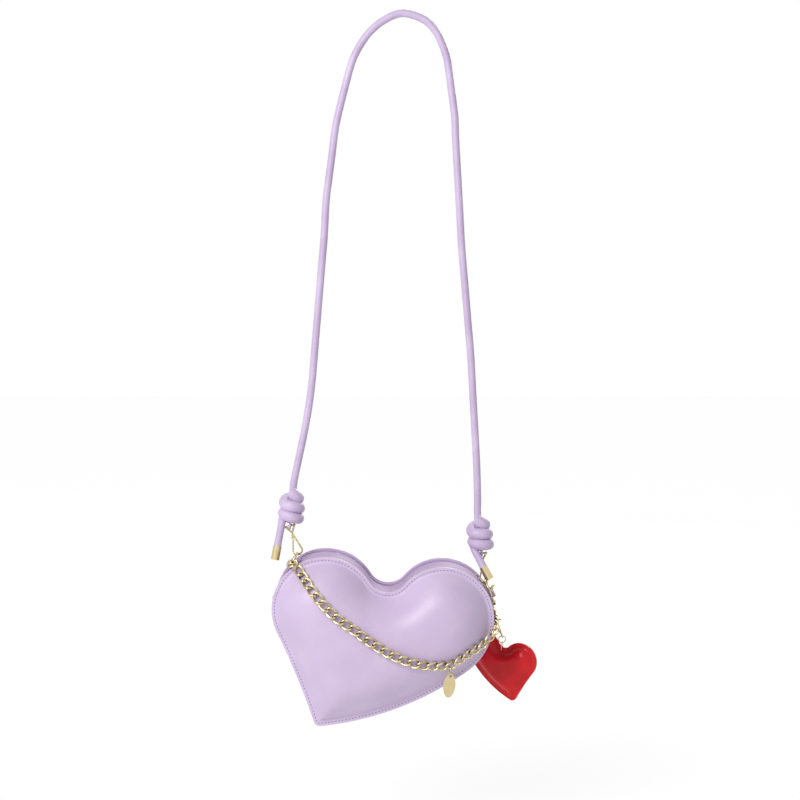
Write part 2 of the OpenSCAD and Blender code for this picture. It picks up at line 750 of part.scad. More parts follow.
gate_pin = [-swivel_r * gate_pin_share, 0, hook_neck - neck_roof - gap - gate_eye_r];
gate_eye_half = 0.65;
cheek_r = 0.4;
slot_right = gate_pin[0] + gate_eye_r + gap;
cheek_y = gate_eye_half + gap + cheek_r;
nose = [hook_r * cos(nose_angle), 0, hook_r + hook_r * sin(nose_angle)];
module clip_hook() {
    color(metal) {
        translate([0, 0, hook_r])
            rotate([90, 0, 0]) {
                rotate([0, 0, nose_angle])
                    half_ring(hook_r, hook_wire_r, 360 + hook_lean - nose_angle);
                rotate([0, 0, hook_lean])
                    translate([hook_r, 0, 0])
                        rotate([-90, 0, 0])
                            cylinder(r = hook_wire_r, h = side_len);
            }
        translate([0, 0, hook_neck - neck_roof])
            cylinder(r = swivel_r, h = swivel_h + neck_roof);
        difference() {
            translate([-neck_half, -cheek_y - cheek_r, hook_neck - neck_h])
                cube([2 * neck_half, 2 * (cheek_y + cheek_r), neck_h]);
            translate([-2 * neck_half, cheek_r - cheek_y, hook_neck - 2 * neck_h])
                cube([slot_right + 2 * neck_half, 2 * (cheek_y - cheek_r), 2 * neck_h - neck_roof]);
        }
        translate(gate_pin) cross_pin(gate_pin_r, cheek_y + cheek_r);
    }
}
module clip_gate() {
    d = unit(nose - gate_pin);
    color(metal)
        difference() {
            union() {
                translate(gate_pin) cross_pin(gate_eye_r, gate_eye_half);
                rod(gate_pin, nose - (gap + gate_r / 2) * d, gate_r);
            }
            translate(gate_pin) cross_pin(gate_pin_r + gate_pin_fit, cheek_y);
        }
}
module left_clip_eye() { at_clip(left_pivot, left_clip_lean) clip_eye(); }
module right_clip_eye() { at_clip(right_pivot, right_clip_lean) clip_eye(); }
module left_hook() { at_clip(left_pivot, left_clip_lean) clip_hook(); }
module right_hook() { at_clip(right_pivot, right_clip_lean) clip_hook(); }
module left_gate() { at_clip(left_pivot, left_clip_lean) clip_gate(); }
module right_gate() { at_clip(right_pivot, right_clip_lean) clip_gate(); }

// The curb chain: twisted oval links along a line over the leather, each with its flat side outward
link_steps = 14;
link_sides = 6;
link_twist = 42;
link_square = 0.85;
function curve(v) = sign(v) * pow(abs(v), link_square);
function link_point(c, t, n, pitch, u) =
    let (x = (pitch + chain_wire + gap) / 2 * curve(cos(u)), w = link_w / 2 * curve(sin(u)),
         f = link_twist * curve(cos(u)), s = cross(t, n))
    c + x * t + w * (cos(f) * s + sin(f) * n);
function link_ref(t, n, u) = let (f = link_twist * curve(cos(u))) cos(f) * n - sin(f) * cross(t, n);
module link(at, pitch) {
    c = at[0];
    t = at[1];
    n = at[2];
    turns = [for (k = [0 : link_steps - 1]) 360 * k / link_steps];
    loop_tube([for (u = turns) link_point(c, t, n, pitch, u)], [for (u = turns) link_ref(t, n, u)],
        chain_wire / 2, link_sides);
}

// A line with its outward directions, cut fine, and where a length along it falls
fine = 8;
function fine_line(keys) = spline([for (k = keys) k[0]], fine);
function fine_out(keys) = concat([for (i = [0 : len(keys) - 2]) for (j = [0 : fine - 1])
    unit(mix(keys[i][1], keys[i + 1][1], j / fine))], [keys[len(keys) - 1][1]]);
function lengths(p) = let (last = len(p) - 1)
    [for (k = 0, s = 0; k <= last; s = s + norm(p[min(k + 1, last)] - p[k]), k = k + 1) s];
function spot(line, out, run, s) =
    let (k = max([for (i = [0 : len(run) - 2]) if (run[i] <= s) i]),
         f = (s - run[k]) / (run[k + 1] - run[k]), t = unit(line[k + 1] - line[k]),
         n = mix(out[k], out[k + 1], f))
    [mix(line[k], line[k + 1], f), t, unit(n - (n * t) * t)];
function links_for(total) = round((total - (chain_pitch + chain_wire + gap) / 2) / chain_pitch);
function even_pitch(total, count) = (total - (chain_wire + gap) / 2) / (count + 0.5);
function first_link(pitch) = (pitch + chain_wire + gap) / 2;

// Where the chain's end rings hang on the legs of the D rings
end_ring_r = 3.55;
end_ring_wire = 1.5;
ring_slack = end_ring_r - end_ring_wire / 2 - ring_wire_r - gap;
link_slack = end_ring_wire / 2 + chain_wire / 2 + gap;
left_leg_dir = stand(along(left_ring_dir));
right_leg_dir = stand(along(right_ring_dir));
left_leg = stand(left_bar, -leg_y) + leg_h * left_leg_dir;
right_leg = stand(right_bar, leg_y) + leg_h / 2 * right_leg_dir;
function square_to(v, d) = unit(v - (v * d) * d);
left_reach = square_to([0.45, -0.85, 0.1], left_leg_dir);
right_reach = square_to(stand(along(right_ring_angle), 0.3), right_leg_dir);
left_ring_at = left_leg + ring_slack * left_reach;
right_ring_at = right_leg + ring_slack * right_reach;
module end_ring(at, normal) {
    color(metal)
        translate(at)
            rotate([0, acos(normal[2]), atan2(normal[1], normal[0])])
                wire_ring(end_ring_r, end_ring_wire / 2);
}
module chain_left_ring() { end_ring(left_ring_at, left_leg_dir); }
module chain_right_ring() { end_ring(right_ring_at, right_leg_dir); }

// The chain's line over the front, as shares of the lobes' spacing across and of the tip's depth down
drape_shares = [[-0.2, 0.34], [-0.12, 0.24], [-0.03, 0.13], [0.1, -0.01], [0.24, -0.12], [0.38, -0.225],
    [0.53, -0.32], [0.65, -0.38], [0.78, -0.42], [0.91, -0.44], [1.05, -0.44], [1.125, -0.4],
    [1.23, -0.335], [1.32, -0.285]];
left_rim_angle = 124;
right_rim_angle = -13;
carry_angle = -4.6;
carry_y = 12;
carry_drop = 2;
carry_in = 1.4;
turn_y = 19;
down_y = 15;
down_angle = 9;
function front_key(share) =
    let (p = [share[0] * lobe_gap, share[1] * tip_depth], g = dome_slope(p), n = unit([-g[0], -1, -g[1]]))
    [stand(p, front_y - dome(p)) + chain_stand * n, n];
function rim_key(c, r, a) = let (n = unit(stand(along(a), -1)))
    [stand(c + r * along(a), front_y) + chain_stand * n, n];
function band_key(a, y) = let (n = stand(along(a)))
    [stand(right_c + right_band_r * along(a), y) + (chain_stand + gap) * n, n];
carry_key = band_key(carry_angle, carry_y);
left_start = left_ring_at + (end_ring_r - link_slack) * left_reach - bag_origin;
right_start = right_ring_at + end_ring_r * right_reach + link_slack * right_leg_dir - bag_origin;
drape_keys = concat([[left_start, unit([-0.3, -0.5, 0.8])], rim_key(left_c, left_lobe_r, left_rim_angle)],
    [for (s = drape_shares) front_key(s)],
    [rim_key(right_c, right_lobe_r, right_rim_angle), band_key(right_rim_angle / 2, front_y / 2),
        [carry_key[0] - [0, 0, carry_drop], carry_key[1]]]);
end_keys = [[right_start, stand(along(right_ring_angle))], band_key(down_angle, down_y), band_key(0, turn_y),
    carry_key];
drape_line = fine_line(drape_keys);
drape_out = fine_out(drape_keys);
drape_run = lengths(drape_line);
drape_len = drape_run[len(drape_run) - 1];
drape_count = links_for(drape_len);
drape_pitch = even_pitch(drape_len + carry_in, drape_count);
drape_spots = [for (k = [0 : drape_count - 1])
    spot(drape_line, drape_out, drape_run, first_link(drape_pitch) + k * drape_pitch)];
end_line = fine_line(end_keys);
end_out = fine_out(end_keys);
end_run = lengths(end_line);
end_len = end_run[len(end_run) - 1];
end_count = links_for(end_len);
end_pitch = even_pitch(end_len, end_count);
end_spots = [for (k = [0 : end_count])
    spot(end_line, end_out, end_run, min(first_link(end_pitch) + k * end_pitch, end_len))];
module chain_drape() {
    color(metal)
        in_bag()
            for (s = drape_spots)
                link(s, drape_pitch);
}
module chain_right_links() {
    color(metal)
        in_bag()
            for (s = end_spots)
                link(s, end_pitch);
}

// The tag on its two jump rings, under one of the links
tag_share = 0.68;
tag_turn = 85;
tag_link = drape_spots[floor(drape_count * tag_share)];
tag_lean = 7;
tag_hole_r = 1.3;
tag_hole_in = 2.4;
tag_wire_at = bag_origin + link_point(tag_link[0], tag_link[1], tag_link[2], drape_pitch, tag_turn);
upper_ring_at = tag_wire_at - [0, 0, jump_r - jump_wire / 2 - chain_wire / 2 - gap];
lower_ring_at = upper_ring_at - [0, 0, 2 * jump_r - jump_wire - gap / 2];
tag_hole_at = lower_ring_at - [0, 0, jump_r];
module tag_upper_ring() {
    color(metal) translate(upper_ring_at) rotate([90, 0, 90]) wire_ring(jump_r, jump_wire / 2);
}
module tag_lower_ring() {
    color(metal) translate(lower_ring_at) rotate([90, 0, 45]) wire_ring(jump_r, jump_wire / 2);
}
module tag_plate() {
    color(metal)
        translate(tag_hole_at)
            rotate([0, tag_lean, 0])
                plate(-tag_t / 2, tag_t)
                    difference() {
                        translate([0, tag_hole_in - tag_h / 2])
                            intersection_for (side = [-1, 1])
                                translate([side * (tag_bow_r - tag_w / 2), 0])
                                    circle(tag_bow_r, $fn = 120);
                        circle(tag_hole_r);
                    }
}
tag_bow_r = (tag_h * tag_h + tag_w * tag_w) / (4 * tag_w);

// Turn things drawn along Z so that they point along a direction, with their Y close to a second one
module aimed(at, dir, side) {
    polar = acos(dir[2]);
    round_z = atan2(dir[1], dir[0]);
    n = square_to(side, dir);
    e = [cos(round_z) * cos(polar), sin(round_z) * cos(polar), -sin(polar)];
    f = [-sin(round_z), cos(round_z), 0];
    translate(at)
        rotate([0, polar, round_z])
            rotate([0, 0, atan2(-(n * e), n * f)])
                children();
}

// The charm hangs on a trigger clasp from the link at the bag's right side
carry_link = end_spots[len(end_spots) - 1];
clasp_dir = unit([0.343, 0.463, -0.817]);
clasp_loop_r = 3;
clasp_wire = 1.4;
clasp_body_r = 2.1;
clasp_body_len = 21.1;
clasp_eye_r = 1.6;
wide_share = 0.28;
clasp_at = bag_origin + carry_link[0] - link_w / 2 * cross(carry_link[1], carry_link[2]);
clasp_drop = clasp_loop_r - clasp_wire / 2 - chain_wire / 2 - 2 * gap;
clasp_foot = clasp_drop + clasp_loop_r;
clasp_eye_at = clasp_foot + clasp_body_len + clasp_eye_r;
clasp_open = 205;
lever_r = 0.5;
lever_eye_r = 0.9;
lever_half = 0.7;
lever_pin = [-3.1, 0, 5.2];
lever_cheek_y = lever_half + gap + cheek_r;
clasp_nose = [clasp_loop_r * cos(clasp_open), 0, clasp_drop + clasp_loop_r * sin(clasp_open)];
module at_clasp() {
    aimed(clasp_at, clasp_dir, -carry_link[1])
        children();
}
module clasp_body() {
    wide_at = clasp_body_len * wide_share;
    color(metal)
        at_clasp() {
            translate([0, 0, clasp_drop])
                rotate([-90, 0, 0])
                    rotate([0, 0, -90])
                        half_ring(clasp_loop_r, clasp_wire / 2, 450 - clasp_open);
            translate([0, 0, clasp_foot])
                cylinder(r1 = clasp_wire / 2, r2 = clasp_body_r, h = wide_at);
            translate([0, 0, clasp_foot + wide_at])
                cylinder(r1 = clasp_body_r, r2 = clasp_wire / 2, h = clasp_body_len - wide_at);
            translate([0, 0, clasp_eye_at])
                rotate([90, 0, 90])
                    wire_ring(clasp_eye_r, clasp_wire / 2);
            translate(lever_pin) cross_pin(gate_pin_r, lever_cheek_y + cheek_r);
            for (side = [-1, 1])
                rod(lever_pin + [0, side * lever_cheek_y, 0],
                    [0, side * lever_cheek_y / 2, clasp_foot + wide_at], cheek_r);
        }
}
module clasp_lever() {
    d = unit(clasp_nose - lever_pin);
    knob = lever_pin - [lever_r * 4, 0, 0];
    color(metal)
        at_clasp()
            difference() {
                union() {
                    translate(lever_pin) cross_pin(lever_eye_r, lever_half);
                    rod(lever_pin, clasp_nose - (gap + lever_r) * d, lever_r);
                    rod(lever_pin, knob, lever_r);
                    translate(knob) sphere(lever_eye_r);
                }
                translate(lever_pin) cross_pin(gate_pin_r + gate_pin_fit, lever_cheek_y);
            }
}

// A split ring and a long jump ring carry the charm
split_r = 3.4;
split_wire = 1;
long_r = 1.9;
long_run = 5.6;
long_wire = 0.8;
seat = 0.15;
split_top = clasp_at + (clasp_eye_at + clasp_eye_r - clasp_wire / 2 - split_wire / 2 - seat) * clasp_dir;
split_at = split_top - [0, 0, split_r];
long_top = split_at - [0, 0, split_r - split_wire / 2 - long_wire / 2 - seat];
long_bottom = long_top - [0, 0, 2 * long_r + long_run];
charm_hole_r = 1;
long_rise = long_r - sqrt(pow(long_r - long_wire / 2, 2) - charm_t * charm_t);
charm_hole_at = long_bottom - [0, 0, charm_hole_r - long_rise - seat / 2];
module charm_split_ring() {
    color(metal) translate(split_at) rotate([90, 0, 0]) wire_ring(split_r, split_wire / 2);
}
module charm_jump_ring() {
    color(metal)
        translate(long_top)
            rotate([0, 0, -charm_turn]) {
                translate([0, 0, -long_r])
                    rotate([90, 0, 90])
                        half_ring(long_r, long_wire / 2);
                translate([0, 0, -long_r - long_run])
                    rotate([-90, 0, 90])
                        half_ring(long_r, long_wire / 2);
                for (side = [-1, 1])
                    translate([0, side * long_r, -long_r - long_run])
                        cylinder(r = long_wire / 2, h = long_run);
            }
}

// The charm: the purse's heart again, small and mirrored, domed on both faces and filled
charm_drop = 2.8;
charm_cleft_r = 7.1;
charm_hip_r = 21.3;
charm_tip_out = 1.8;
charm_tip_r = 4.6;
charm_flank_r = 101;
charm_hollow_r = 252;
charm_hole_in = 4.2;
charm_reach = 13;
charm_fit = 0.1;
charm_shares = [0.1, 0.24, 0.42, 0.66];
charm = [charm_gap, charm_drop, charm_lobe_r, charm_inner_r, charm_cleft_r, charm_hip_r, hip_angle,
    charm_depth, charm_tip_out, charm_tip_r, charm_flank_r, charm_hollow_r];
charm_foot = outline(charm, charm_edge);
charm_hole = centres(charm)[4] - [0, charm_cleft_r + charm_hole_in];
charm_mid = [charm_gap * dome_mid_shares[0], -charm_depth * dome_mid_shares[1]];
function charm_rise(p) = rise(p, charm_foot, charm_reach, charm_dome_h);
charm_rings = [for (s = charm_shares) [for (p = charm_foot) mix(p, charm_mid, s)]];
module at_charm() {
    translate(charm_hole_at)
        rotate([0, 0, -charm_turn])
            rotate([0, charm_tilt, 0])
                mirror([1, 0, 0])
                    translate(-stand(charm_hole))
                        children();
}
module charm_face() {
    loops = concat([outline(charm, 0), charm_foot], charm_rings);
    outer = [for (j = [0 : len(loops) - 1]) [for (p = loops[j]) -charm_t - (j < 2 ? 0 : charm_rise(p))]];
    inner = [for (ring = outer) [for (y = ring) y + charm_t]];
    top = -charm_t - charm_dome_h;
    difference() {
        shell(loops, outer, inner, charm_mid, top, top + charm_t);
        translate(stand(charm_hole)) cross_pin(charm_hole_r, charm_dome_h);
    }
}
module charm_front() {
    color(red_leather) at_charm() charm_face();
}
module charm_back() {
    color(red_leather) at_charm() mirror([0, 1, 0]) charm_face();
}
module charm_filling() {
    outer = [for (ring = charm_rings) [for (p = ring) charm_fit - charm_rise(p)]];
    inner = [for (ring = outer) [for (y = ring) -y]];
    top = charm_fit - charm_dome_h;
    color(cloth)
        at_charm()
            difference() {
                shell(charm_rings, outer, inner, charm_mid, top, -top);
                translate(stand(charm_hole)) cross_pin(charm_hole_r * 2, charm_dome_h);
            }
}

front_panel();
back_panel();
back_board();
back_lining();
inner_pocket();
band();
band_lining();
left_tab();
right_tab();
left_d_ring();
right_d_ring();
front_strip();
rear_strip();
front_zip_tape();
rear_zip_tape();
front_zip_teeth();
rear_zip_teeth();
zip_start_stop();
zip_end_stop();
zip_slider();
zip_pull();
zip_pull_tab();
strap_cord();
left_knot();
right_knot();
left_tongue();
right_tongue();
left_ferrule();
right_ferrule();
left_clip_eye();
right_clip_eye();
left_hook();
right_hook();
left_gate();
right_gate();
chain_left_ring();
chain_drape();
chain_right_links();
chain_right_ring();
tag_upper_ring();
tag_lower_ring();
tag_plate();
clasp_body();
clasp_lever();
charm_split_ring();
charm_jump_ring();
charm_front();
charm_back();
charm_filling();
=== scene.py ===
import bpy
import bmesh
import math
import numpy as np
from mathutils import Matrix, Vector


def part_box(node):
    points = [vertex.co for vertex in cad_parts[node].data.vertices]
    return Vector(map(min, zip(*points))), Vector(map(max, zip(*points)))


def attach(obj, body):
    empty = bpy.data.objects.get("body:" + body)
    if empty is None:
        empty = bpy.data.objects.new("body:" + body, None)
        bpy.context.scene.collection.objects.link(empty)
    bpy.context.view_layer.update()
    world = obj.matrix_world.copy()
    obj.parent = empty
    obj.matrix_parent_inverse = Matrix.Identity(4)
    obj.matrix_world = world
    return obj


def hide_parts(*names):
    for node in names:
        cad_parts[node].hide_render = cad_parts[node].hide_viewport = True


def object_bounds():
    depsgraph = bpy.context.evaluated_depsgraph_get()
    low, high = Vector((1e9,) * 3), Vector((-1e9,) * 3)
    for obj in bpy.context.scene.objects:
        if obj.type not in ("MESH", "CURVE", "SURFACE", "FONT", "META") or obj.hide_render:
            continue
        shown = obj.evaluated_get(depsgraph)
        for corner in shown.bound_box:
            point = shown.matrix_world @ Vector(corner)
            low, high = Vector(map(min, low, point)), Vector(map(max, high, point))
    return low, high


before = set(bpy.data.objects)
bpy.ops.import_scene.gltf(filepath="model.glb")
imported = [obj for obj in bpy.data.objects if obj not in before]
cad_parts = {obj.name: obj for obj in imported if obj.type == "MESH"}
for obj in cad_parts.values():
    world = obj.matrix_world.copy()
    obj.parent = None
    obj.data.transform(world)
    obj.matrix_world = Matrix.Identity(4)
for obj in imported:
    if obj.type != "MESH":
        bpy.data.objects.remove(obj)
cad_box = [list(corner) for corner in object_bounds()]

# The camera stands about a metre and a half in front of the hanging purse, a little above its middle,
# and looks down at it by four and a half degrees, as the photograph was taken.
eye = Vector((-0.0028, -1.4954, -0.2437))
look_at = Vector((-0.0028, 0, -0.3614))
lens = bpy.data.cameras.new("camera")
lens.lens = 70.3
lens.sensor_width = 36
camera = bpy.data.objects.new("camera", lens)
camera.location = eye
camera.rotation_euler = (look_at - eye).to_track_quat("-Z", "Y").to_euler()
bpy.context.collection.objects.link(camera)
bpy.context.scene.camera = camera


def linear(code):
    """An sRGB hex colour as the linear colour that a shader takes."""
    parts = [int(code[k:k + 2], 16) / 255 for k in (1, 3, 5)]
    return [p / 12.92 if p <= 0.04045 else ((p + 0.055) / 1.055) ** 2.4 for p in parts] + [1]


def add(tree, kind, inputs=None, **settings):
    """Adds a node, sets what it is told, and fills its inputs with values or with other nodes' outputs."""
    made = tree.nodes.new(kind)
    for name, value in settings.items():
        setattr(made, name, value)
    for name, value in (inputs or {}).items():
        if isinstance(value, bpy.types.NodeSocket):
            tree.links.new(value, made.inputs[name])
        else:
            made.inputs[name].default_value = value
    return made


def new_material(name):
    """An empty material with its principled shader, and the place that patterns are read from."""
    material = bpy.data.materials.new(name)
    material.use_nodes = True
    tree = material.node_tree
    place = add(tree, "ShaderNodeTexCoord").outputs["Object"]
    return material, tree, tree.nodes["Principled BSDF"], place


def blotched(tree, place, dark, light, size, low=0.35, high=0.65):
    """Two colours that drift into each other over patches of a real size."""
    patches = add(tree, "ShaderNodeTexNoise", {"Vector": place, "Scale": 1 / size, "Detail": 3.0})
    ramp = add(tree, "ShaderNodeValToRGB", {"Fac": patches.outputs["Fac"]})
    ramp.color_ramp.elements[0].position = low
    ramp.color_ramp.elements[0].color = linear(dark)
    ramp.color_ramp.elements[1].position = high
    ramp.color_ramp.elements[1].color = linear(light)
    return ramp.outputs["Color"]


def leather(name, dark, light, grain, depth, roughness, gloss=0.5, sheen=0.12):
    """Smooth calf leather, dyed through and lacquered: pores a grain apart, faint creases, a soft sheen."""
    material, tree, shader, place = new_material(name)
    tree.links.new(blotched(tree, place, dark, light, 0.03), shader.inputs["Base Color"])
    pores = add(tree, "ShaderNodeTexVoronoi", {"Vector": place, "Scale": 1 / grain})
    creases = add(tree, "ShaderNodeTexNoise", {"Vector": place, "Scale": 1 / (8 * grain), "Detail": 4.0})
    both = add(tree, "ShaderNodeMath", {0: pores.outputs["Distance"], 1: creases.outputs["Fac"]},
               operation="ADD")
    bump = add(tree, "ShaderNodeBump", {"Height": both.outputs["Value"], "Distance": depth,
                                        "Strength": 0.6})
    tree.links.new(bump.outputs["Normal"], shader.inputs["Normal"])
    wear = add(tree, "ShaderNodeMapRange", {"Value": creases.outputs["Fac"], "To Min": roughness - 0.05,
                                            "To Max": roughness + 0.08})
    tree.links.new(wear.outputs["Result"], shader.inputs["Roughness"])
    shader.inputs["Specular IOR Level"].default_value = gloss
    shader.inputs["Sheen Weight"].default_value = sheen
    shader.inputs["Sheen Roughness"].default_value = 0.4
    return material


def finish_mesh(name, shape, material, smooth=True):
    """Makes a piece of a finished bmesh, its faces outwards."""
    bmesh.ops.recalc_face_normals(shape, faces=shape.faces)
    data = bpy.data.meshes.new(name)
    shape.to_mesh(data)
    shape.free()
    data.materials.append(material)
    for face in data.polygons:
        face.use_smooth = smooth
    piece = bpy.data.objects.new(name, data)
    bpy.context.collection.objects.link(piece)
    return piece


# The strap is one cord of lilac leather sewn round a cotton core, over a metre long. It hangs by its
# top, drawn into a narrow bend, and both ends run down into the knots above the clips.
cord_across = 0.0072
# The line of the cord from the left knot over the top to the right one: each point across and up.
strap_route = [(-0.10874, -0.48039), (-0.1058, -0.4468), (-0.104, -0.435), (-0.099, -0.412),
               (-0.094, -0.388), (-0.09, -0.365), (-0.087, -0.342), (-0.084, -0.308), (-0.081, -0.273),
               (-0.078, -0.239), (-0.075, -0.205), (-0.073, -0.171), (-0.07, -0.148), (-0.067, -0.126),
               (-0.064, -0.103), (-0.059, -0.081), (-0.053, -0.058), (-0.05, -0.047), (-0.046, -0.036),
               (-0.04, -0.025), (-0.031, -0.013), (-0.017, -0.002), (0, 0.004), (0.02, -0.002),
               (0.031, -0.013), (0.037, -0.025), (0.041, -0.036), (0.043, -0.047), (0.046, -0.069),
               (0.049, -0.092), (0.05, -0.114), (0.052, -0.148), (0.054, -0.182), (0.056, -0.216),
               (0.059, -0.25), (0.062, -0.285), (0.065, -0.319), (0.067, -0.354), (0.069, -0.388),
               (0.071, -0.423), (0.072, -0.456), (0.07217, -0.47361), (0.07587, -0.50712)]
cord_leather = leather("sewn_cord_leather", "#C6B0D3", "#D5C2E2", 0.0012, 0.0003, 0.42)


def flowing(points, steps):
    """More points on a smooth line through the given ones."""
    out = []
    for i in range(len(points) - 1):
        a, b, c, d = (Vector(points[max(0, min(len(points) - 1, i + k))]) for k in (-1, 0, 1, 2))
        for j in range(steps):
            t = j / steps
            out.append((2 * b + (c - a) * t + (2 * a - 5 * b + 4 * c - d) * t * t
                        + (3 * b - a - 3 * c + d) * t ** 3) / 2)
    return out + [Vector(points[-1])]


def round_cord(name, points, across, material, widths=None):
    """A curve with a round section along a line of points."""
    data = bpy.data.curves.new(name, "CURVE")
    data.dimensions = "3D"
    data.bevel_depth = across / 2
    data.bevel_resolution = 5
    data.use_fill_caps = True
    line = data.splines.new("POLY")
    line.points.add(len(points) - 1)
    for k, point in enumerate(points):
        line.points[k].co = (*point, 1)
        line.points[k].radius = widths[k] if widths else 1
    line.use_smooth = True
    data.materials.append(material)
    piece = bpy.data.objects.new(name, data)
    bpy.context.collection.objects.link(piece)
    return piece


strap_line = flowing([(x, 0, z) for x, z in strap_route], 6)
strap = round_cord("strap", strap_line, cord_across, cord_leather)
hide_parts("strap_cord")
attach(strap, "strap")

# Each end of the strap is knotted round itself: the cord is wound nearly three times about its own end,
# the first turn slanting down over the others, and then hangs as a loose tail. The turns are soft and
# puffed out, so they are thicker than the free cord.
knot_turns = 2.8
wound_across = 0.011
knot_radius = 0.0068
# How each sixth of the winding slants, how far out it lies as a share of the radius, and how high it is.
turn_slants = (-0.5, -0.32, 0.2, 0.1, -0.08, -0.02, 0)
turn_reaches = (0.72, 0.95, 1.1, 1.12, 1.06, 1.1, 0.95)
turn_heights = (0.0302, 0.0248, 0.0188, 0.0128, 0.008, 0.005, 0.0045)
winding_steps = 120
narrowing_steps = 12
tail_in_ferrule = 0.006
bend_out = Vector((-0.001, 0, 0.0015))
# Where each tail leaves its knot, its direction and its length to the ferrule.
left_tail = (Vector((-0.008, -0.0053, -0.00137)), (-0.1, -0.06, -1), 0.021)
right_tail = (Vector((-0.00566, -0.00573, -0.00099)), (0.4, -0.16, -1), 0.015)


def knot_winding():
    """The line of the cord round the knot, from the top turn down, about the strap's end."""
    points = []
    for k in range(winding_steps + 1):
        run = k / winding_steps
        angle = math.radians(180 - 360 * knot_turns * (1 - run))
        reach, slant, height = (np.interp(run * 6, range(7), shares)
                                for shares in (turn_reaches, turn_slants, turn_heights))
        reach = knot_radius * reach
        points.append(Vector((reach * math.cos(angle), reach * math.sin(angle),
                              height + slant * reach * math.cos(angle))))
    return points


for side, foot, lean, (last, tail, tail_length) in (("left", strap_route[0], 5, left_tail),
                                                    ("right", strap_route[-1], -6.3, right_tail)):
    way = Vector(tail).normalized()
    winding = knot_winding()
    end = winding[-1]
    middle = end.lerp(last, 0.5) + bend_out
    bend = [end.lerp(middle, t).lerp(middle.lerp(last, t), t) for t in (0.2, 0.4, 0.6, 0.8, 1.0)]
    tail_end = [last + way * (tail_length * f + tail_in_ferrule * (f == 1)) for f in (0.2, 0.5, 1)]
    wound = wound_across / cord_across
    widths = ([wound] * (winding_steps - 6) + list(np.linspace(wound, 1, narrowing_steps))
              + [1] * len(tail_end))
    place = Matrix.Translation((foot[0], 0, foot[1])) @ Matrix.Rotation(math.radians(lean), 4, "Y")
    knot = round_cord(side + "_knotted_cord", [place @ p for p in winding + bend + tail_end], cord_across,
                      cord_leather, widths)
    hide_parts(side + "_knot")
    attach(knot, "strap")

# Every metal part is zinc or brass plated in a pale, polished gold, as bag fittings are: bright and a
# little wavy from the polishing. Its colour is painted darker where parts lie close, as painted shade, and
# its tones drift in patches that are partly painted reflection. The ferrules and the tag have a satin face.
def plated_gold(name, hollow, dark, light, patch, roughness, wave):
    """Gold plate: two tones in patches of a size, partly painted reflection, with painted shade where parts
    lie close, and gently wavy.
    """
    material, tree, shader, place = new_material(name)
    # The spread between the dark and the light tone is partly painted reflection, dark and bright.
    faces = blotched(tree, place, dark, light, patch, 0.3, 0.7)
    # Painted shade: ambient occlusion pulls the colour towards the hollow colour where parts lie close.
    painted_shade_occlusion = add(tree, "ShaderNodeAmbientOcclusion", {"Distance": 0.003}, samples=8)
    unshaded_share = add(tree, "ShaderNodeMapRange", {"Value": painted_shade_occlusion.outputs["AO"], "From Min": 0.25,
                                                  "From Max": 0.8})
    tone = add(tree, "ShaderNodeMix", {"Factor": unshaded_share.outputs["Result"]}, data_type="RGBA")
    tone.inputs["A"].default_value = linear(hollow)
    tree.links.new(faces, tone.inputs["B"])
    tree.links.new(tone.outputs["Result"], shader.inputs["Base Color"])
    ripple = add(tree, "ShaderNodeTexNoise", {"Vector": place, "Scale": 1 / wave, "Detail": 2.0})
    bump = add(tree, "ShaderNodeBump", {"Height": ripple.outputs["Fac"], "Distance": 0.0002,
                                        "Strength": 0.35})
    tree.links.new(bump.outputs["Normal"], shader.inputs["Normal"])
    spread = add(tree, "ShaderNodeMapRange", {"Value": ripple.outputs["Fac"], "To Min": roughness - 0.04,
                                              "To Max": roughness + 0.06})
    tree.links.new(spread.outputs["Result"], shader.inputs["Roughness"])
    shader.inputs["Metallic"].default_value = 1
    return material


# The polished gold's hollow colour is painted shade, and its wide spread of tones is partly painted
# reflection; the satin gold's tones lie close together.
gold = plated_gold("polished_gold_plate", "#3F321A", "#AA945C", "#EFE4BC", 0.0025, 0.2, 0.004)
satin_gold = plated_gold("satin_gold_plate", "#CFBC8E", "#D2C092", "#DCCCA2", 0.012, 0.3, 0.02)


def dress(node, material):
    """Gives a solid of the frame its material."""
    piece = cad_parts[node]
    piece.data.materials.clear()
    piece.data.materials.append(material)


for node in ("left_clip_eye", "right_clip_eye", "left_hook", "right_hook", "left_gate", "right_gate",
             "left_d_ring", "right_d_ring", "chain_left_ring", "chain_right_ring", "tag_upper_ring",
             "tag_lower_ring", "clasp_body", "clasp_lever", "charm_split_ring", "charm_jump_ring",
             "zip_slider", "zip_pull", "zip_start_stop", "zip_end_stop"):
    dress(node, gold)
for node in ("left_ferrule", "right_ferrule"):
    dress(node, satin_gold)


def merged_copy(node):
    """A copy of a solid placed where it stands, with its doubled points joined."""
    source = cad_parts[node]
    shape = bmesh.new()
    shape.from_mesh(source.data)
    bmesh.ops.transform(shape, matrix=source.matrix_world, verts=shape.verts)
    bmesh.ops.remove_doubles(shape, verts=shape.verts, dist=1e-6)
    return shape


# The curb chain is made of twisted oval links of round wire that lie flat against the leather. Each link
# is smooth, so the plain links of the frame are rounded here, and those of the front run get back
# the thickness that the rounding takes.
link_growth = 0.00016
for node, body in (("chain_drape", "chain"), ("chain_right_links", "bag")):
    shape = merged_copy(node)
    bmesh.ops.join_triangles(shape, faces=shape.faces, angle_face_threshold=0.9, angle_shape_threshold=0.9)
    links = finish_mesh(node + "_links", shape, gold)
    rounding = links.modifiers.new("rounded wire", "SUBSURF")
    rounding.levels = rounding.render_levels = 2
    if node == "chain_drape":
        fuller = links.modifiers.new("full thickness", "DISPLACE")
        fuller.strength = link_growth
        fuller.mid_level = 0
    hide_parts(node)
    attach(links, body)

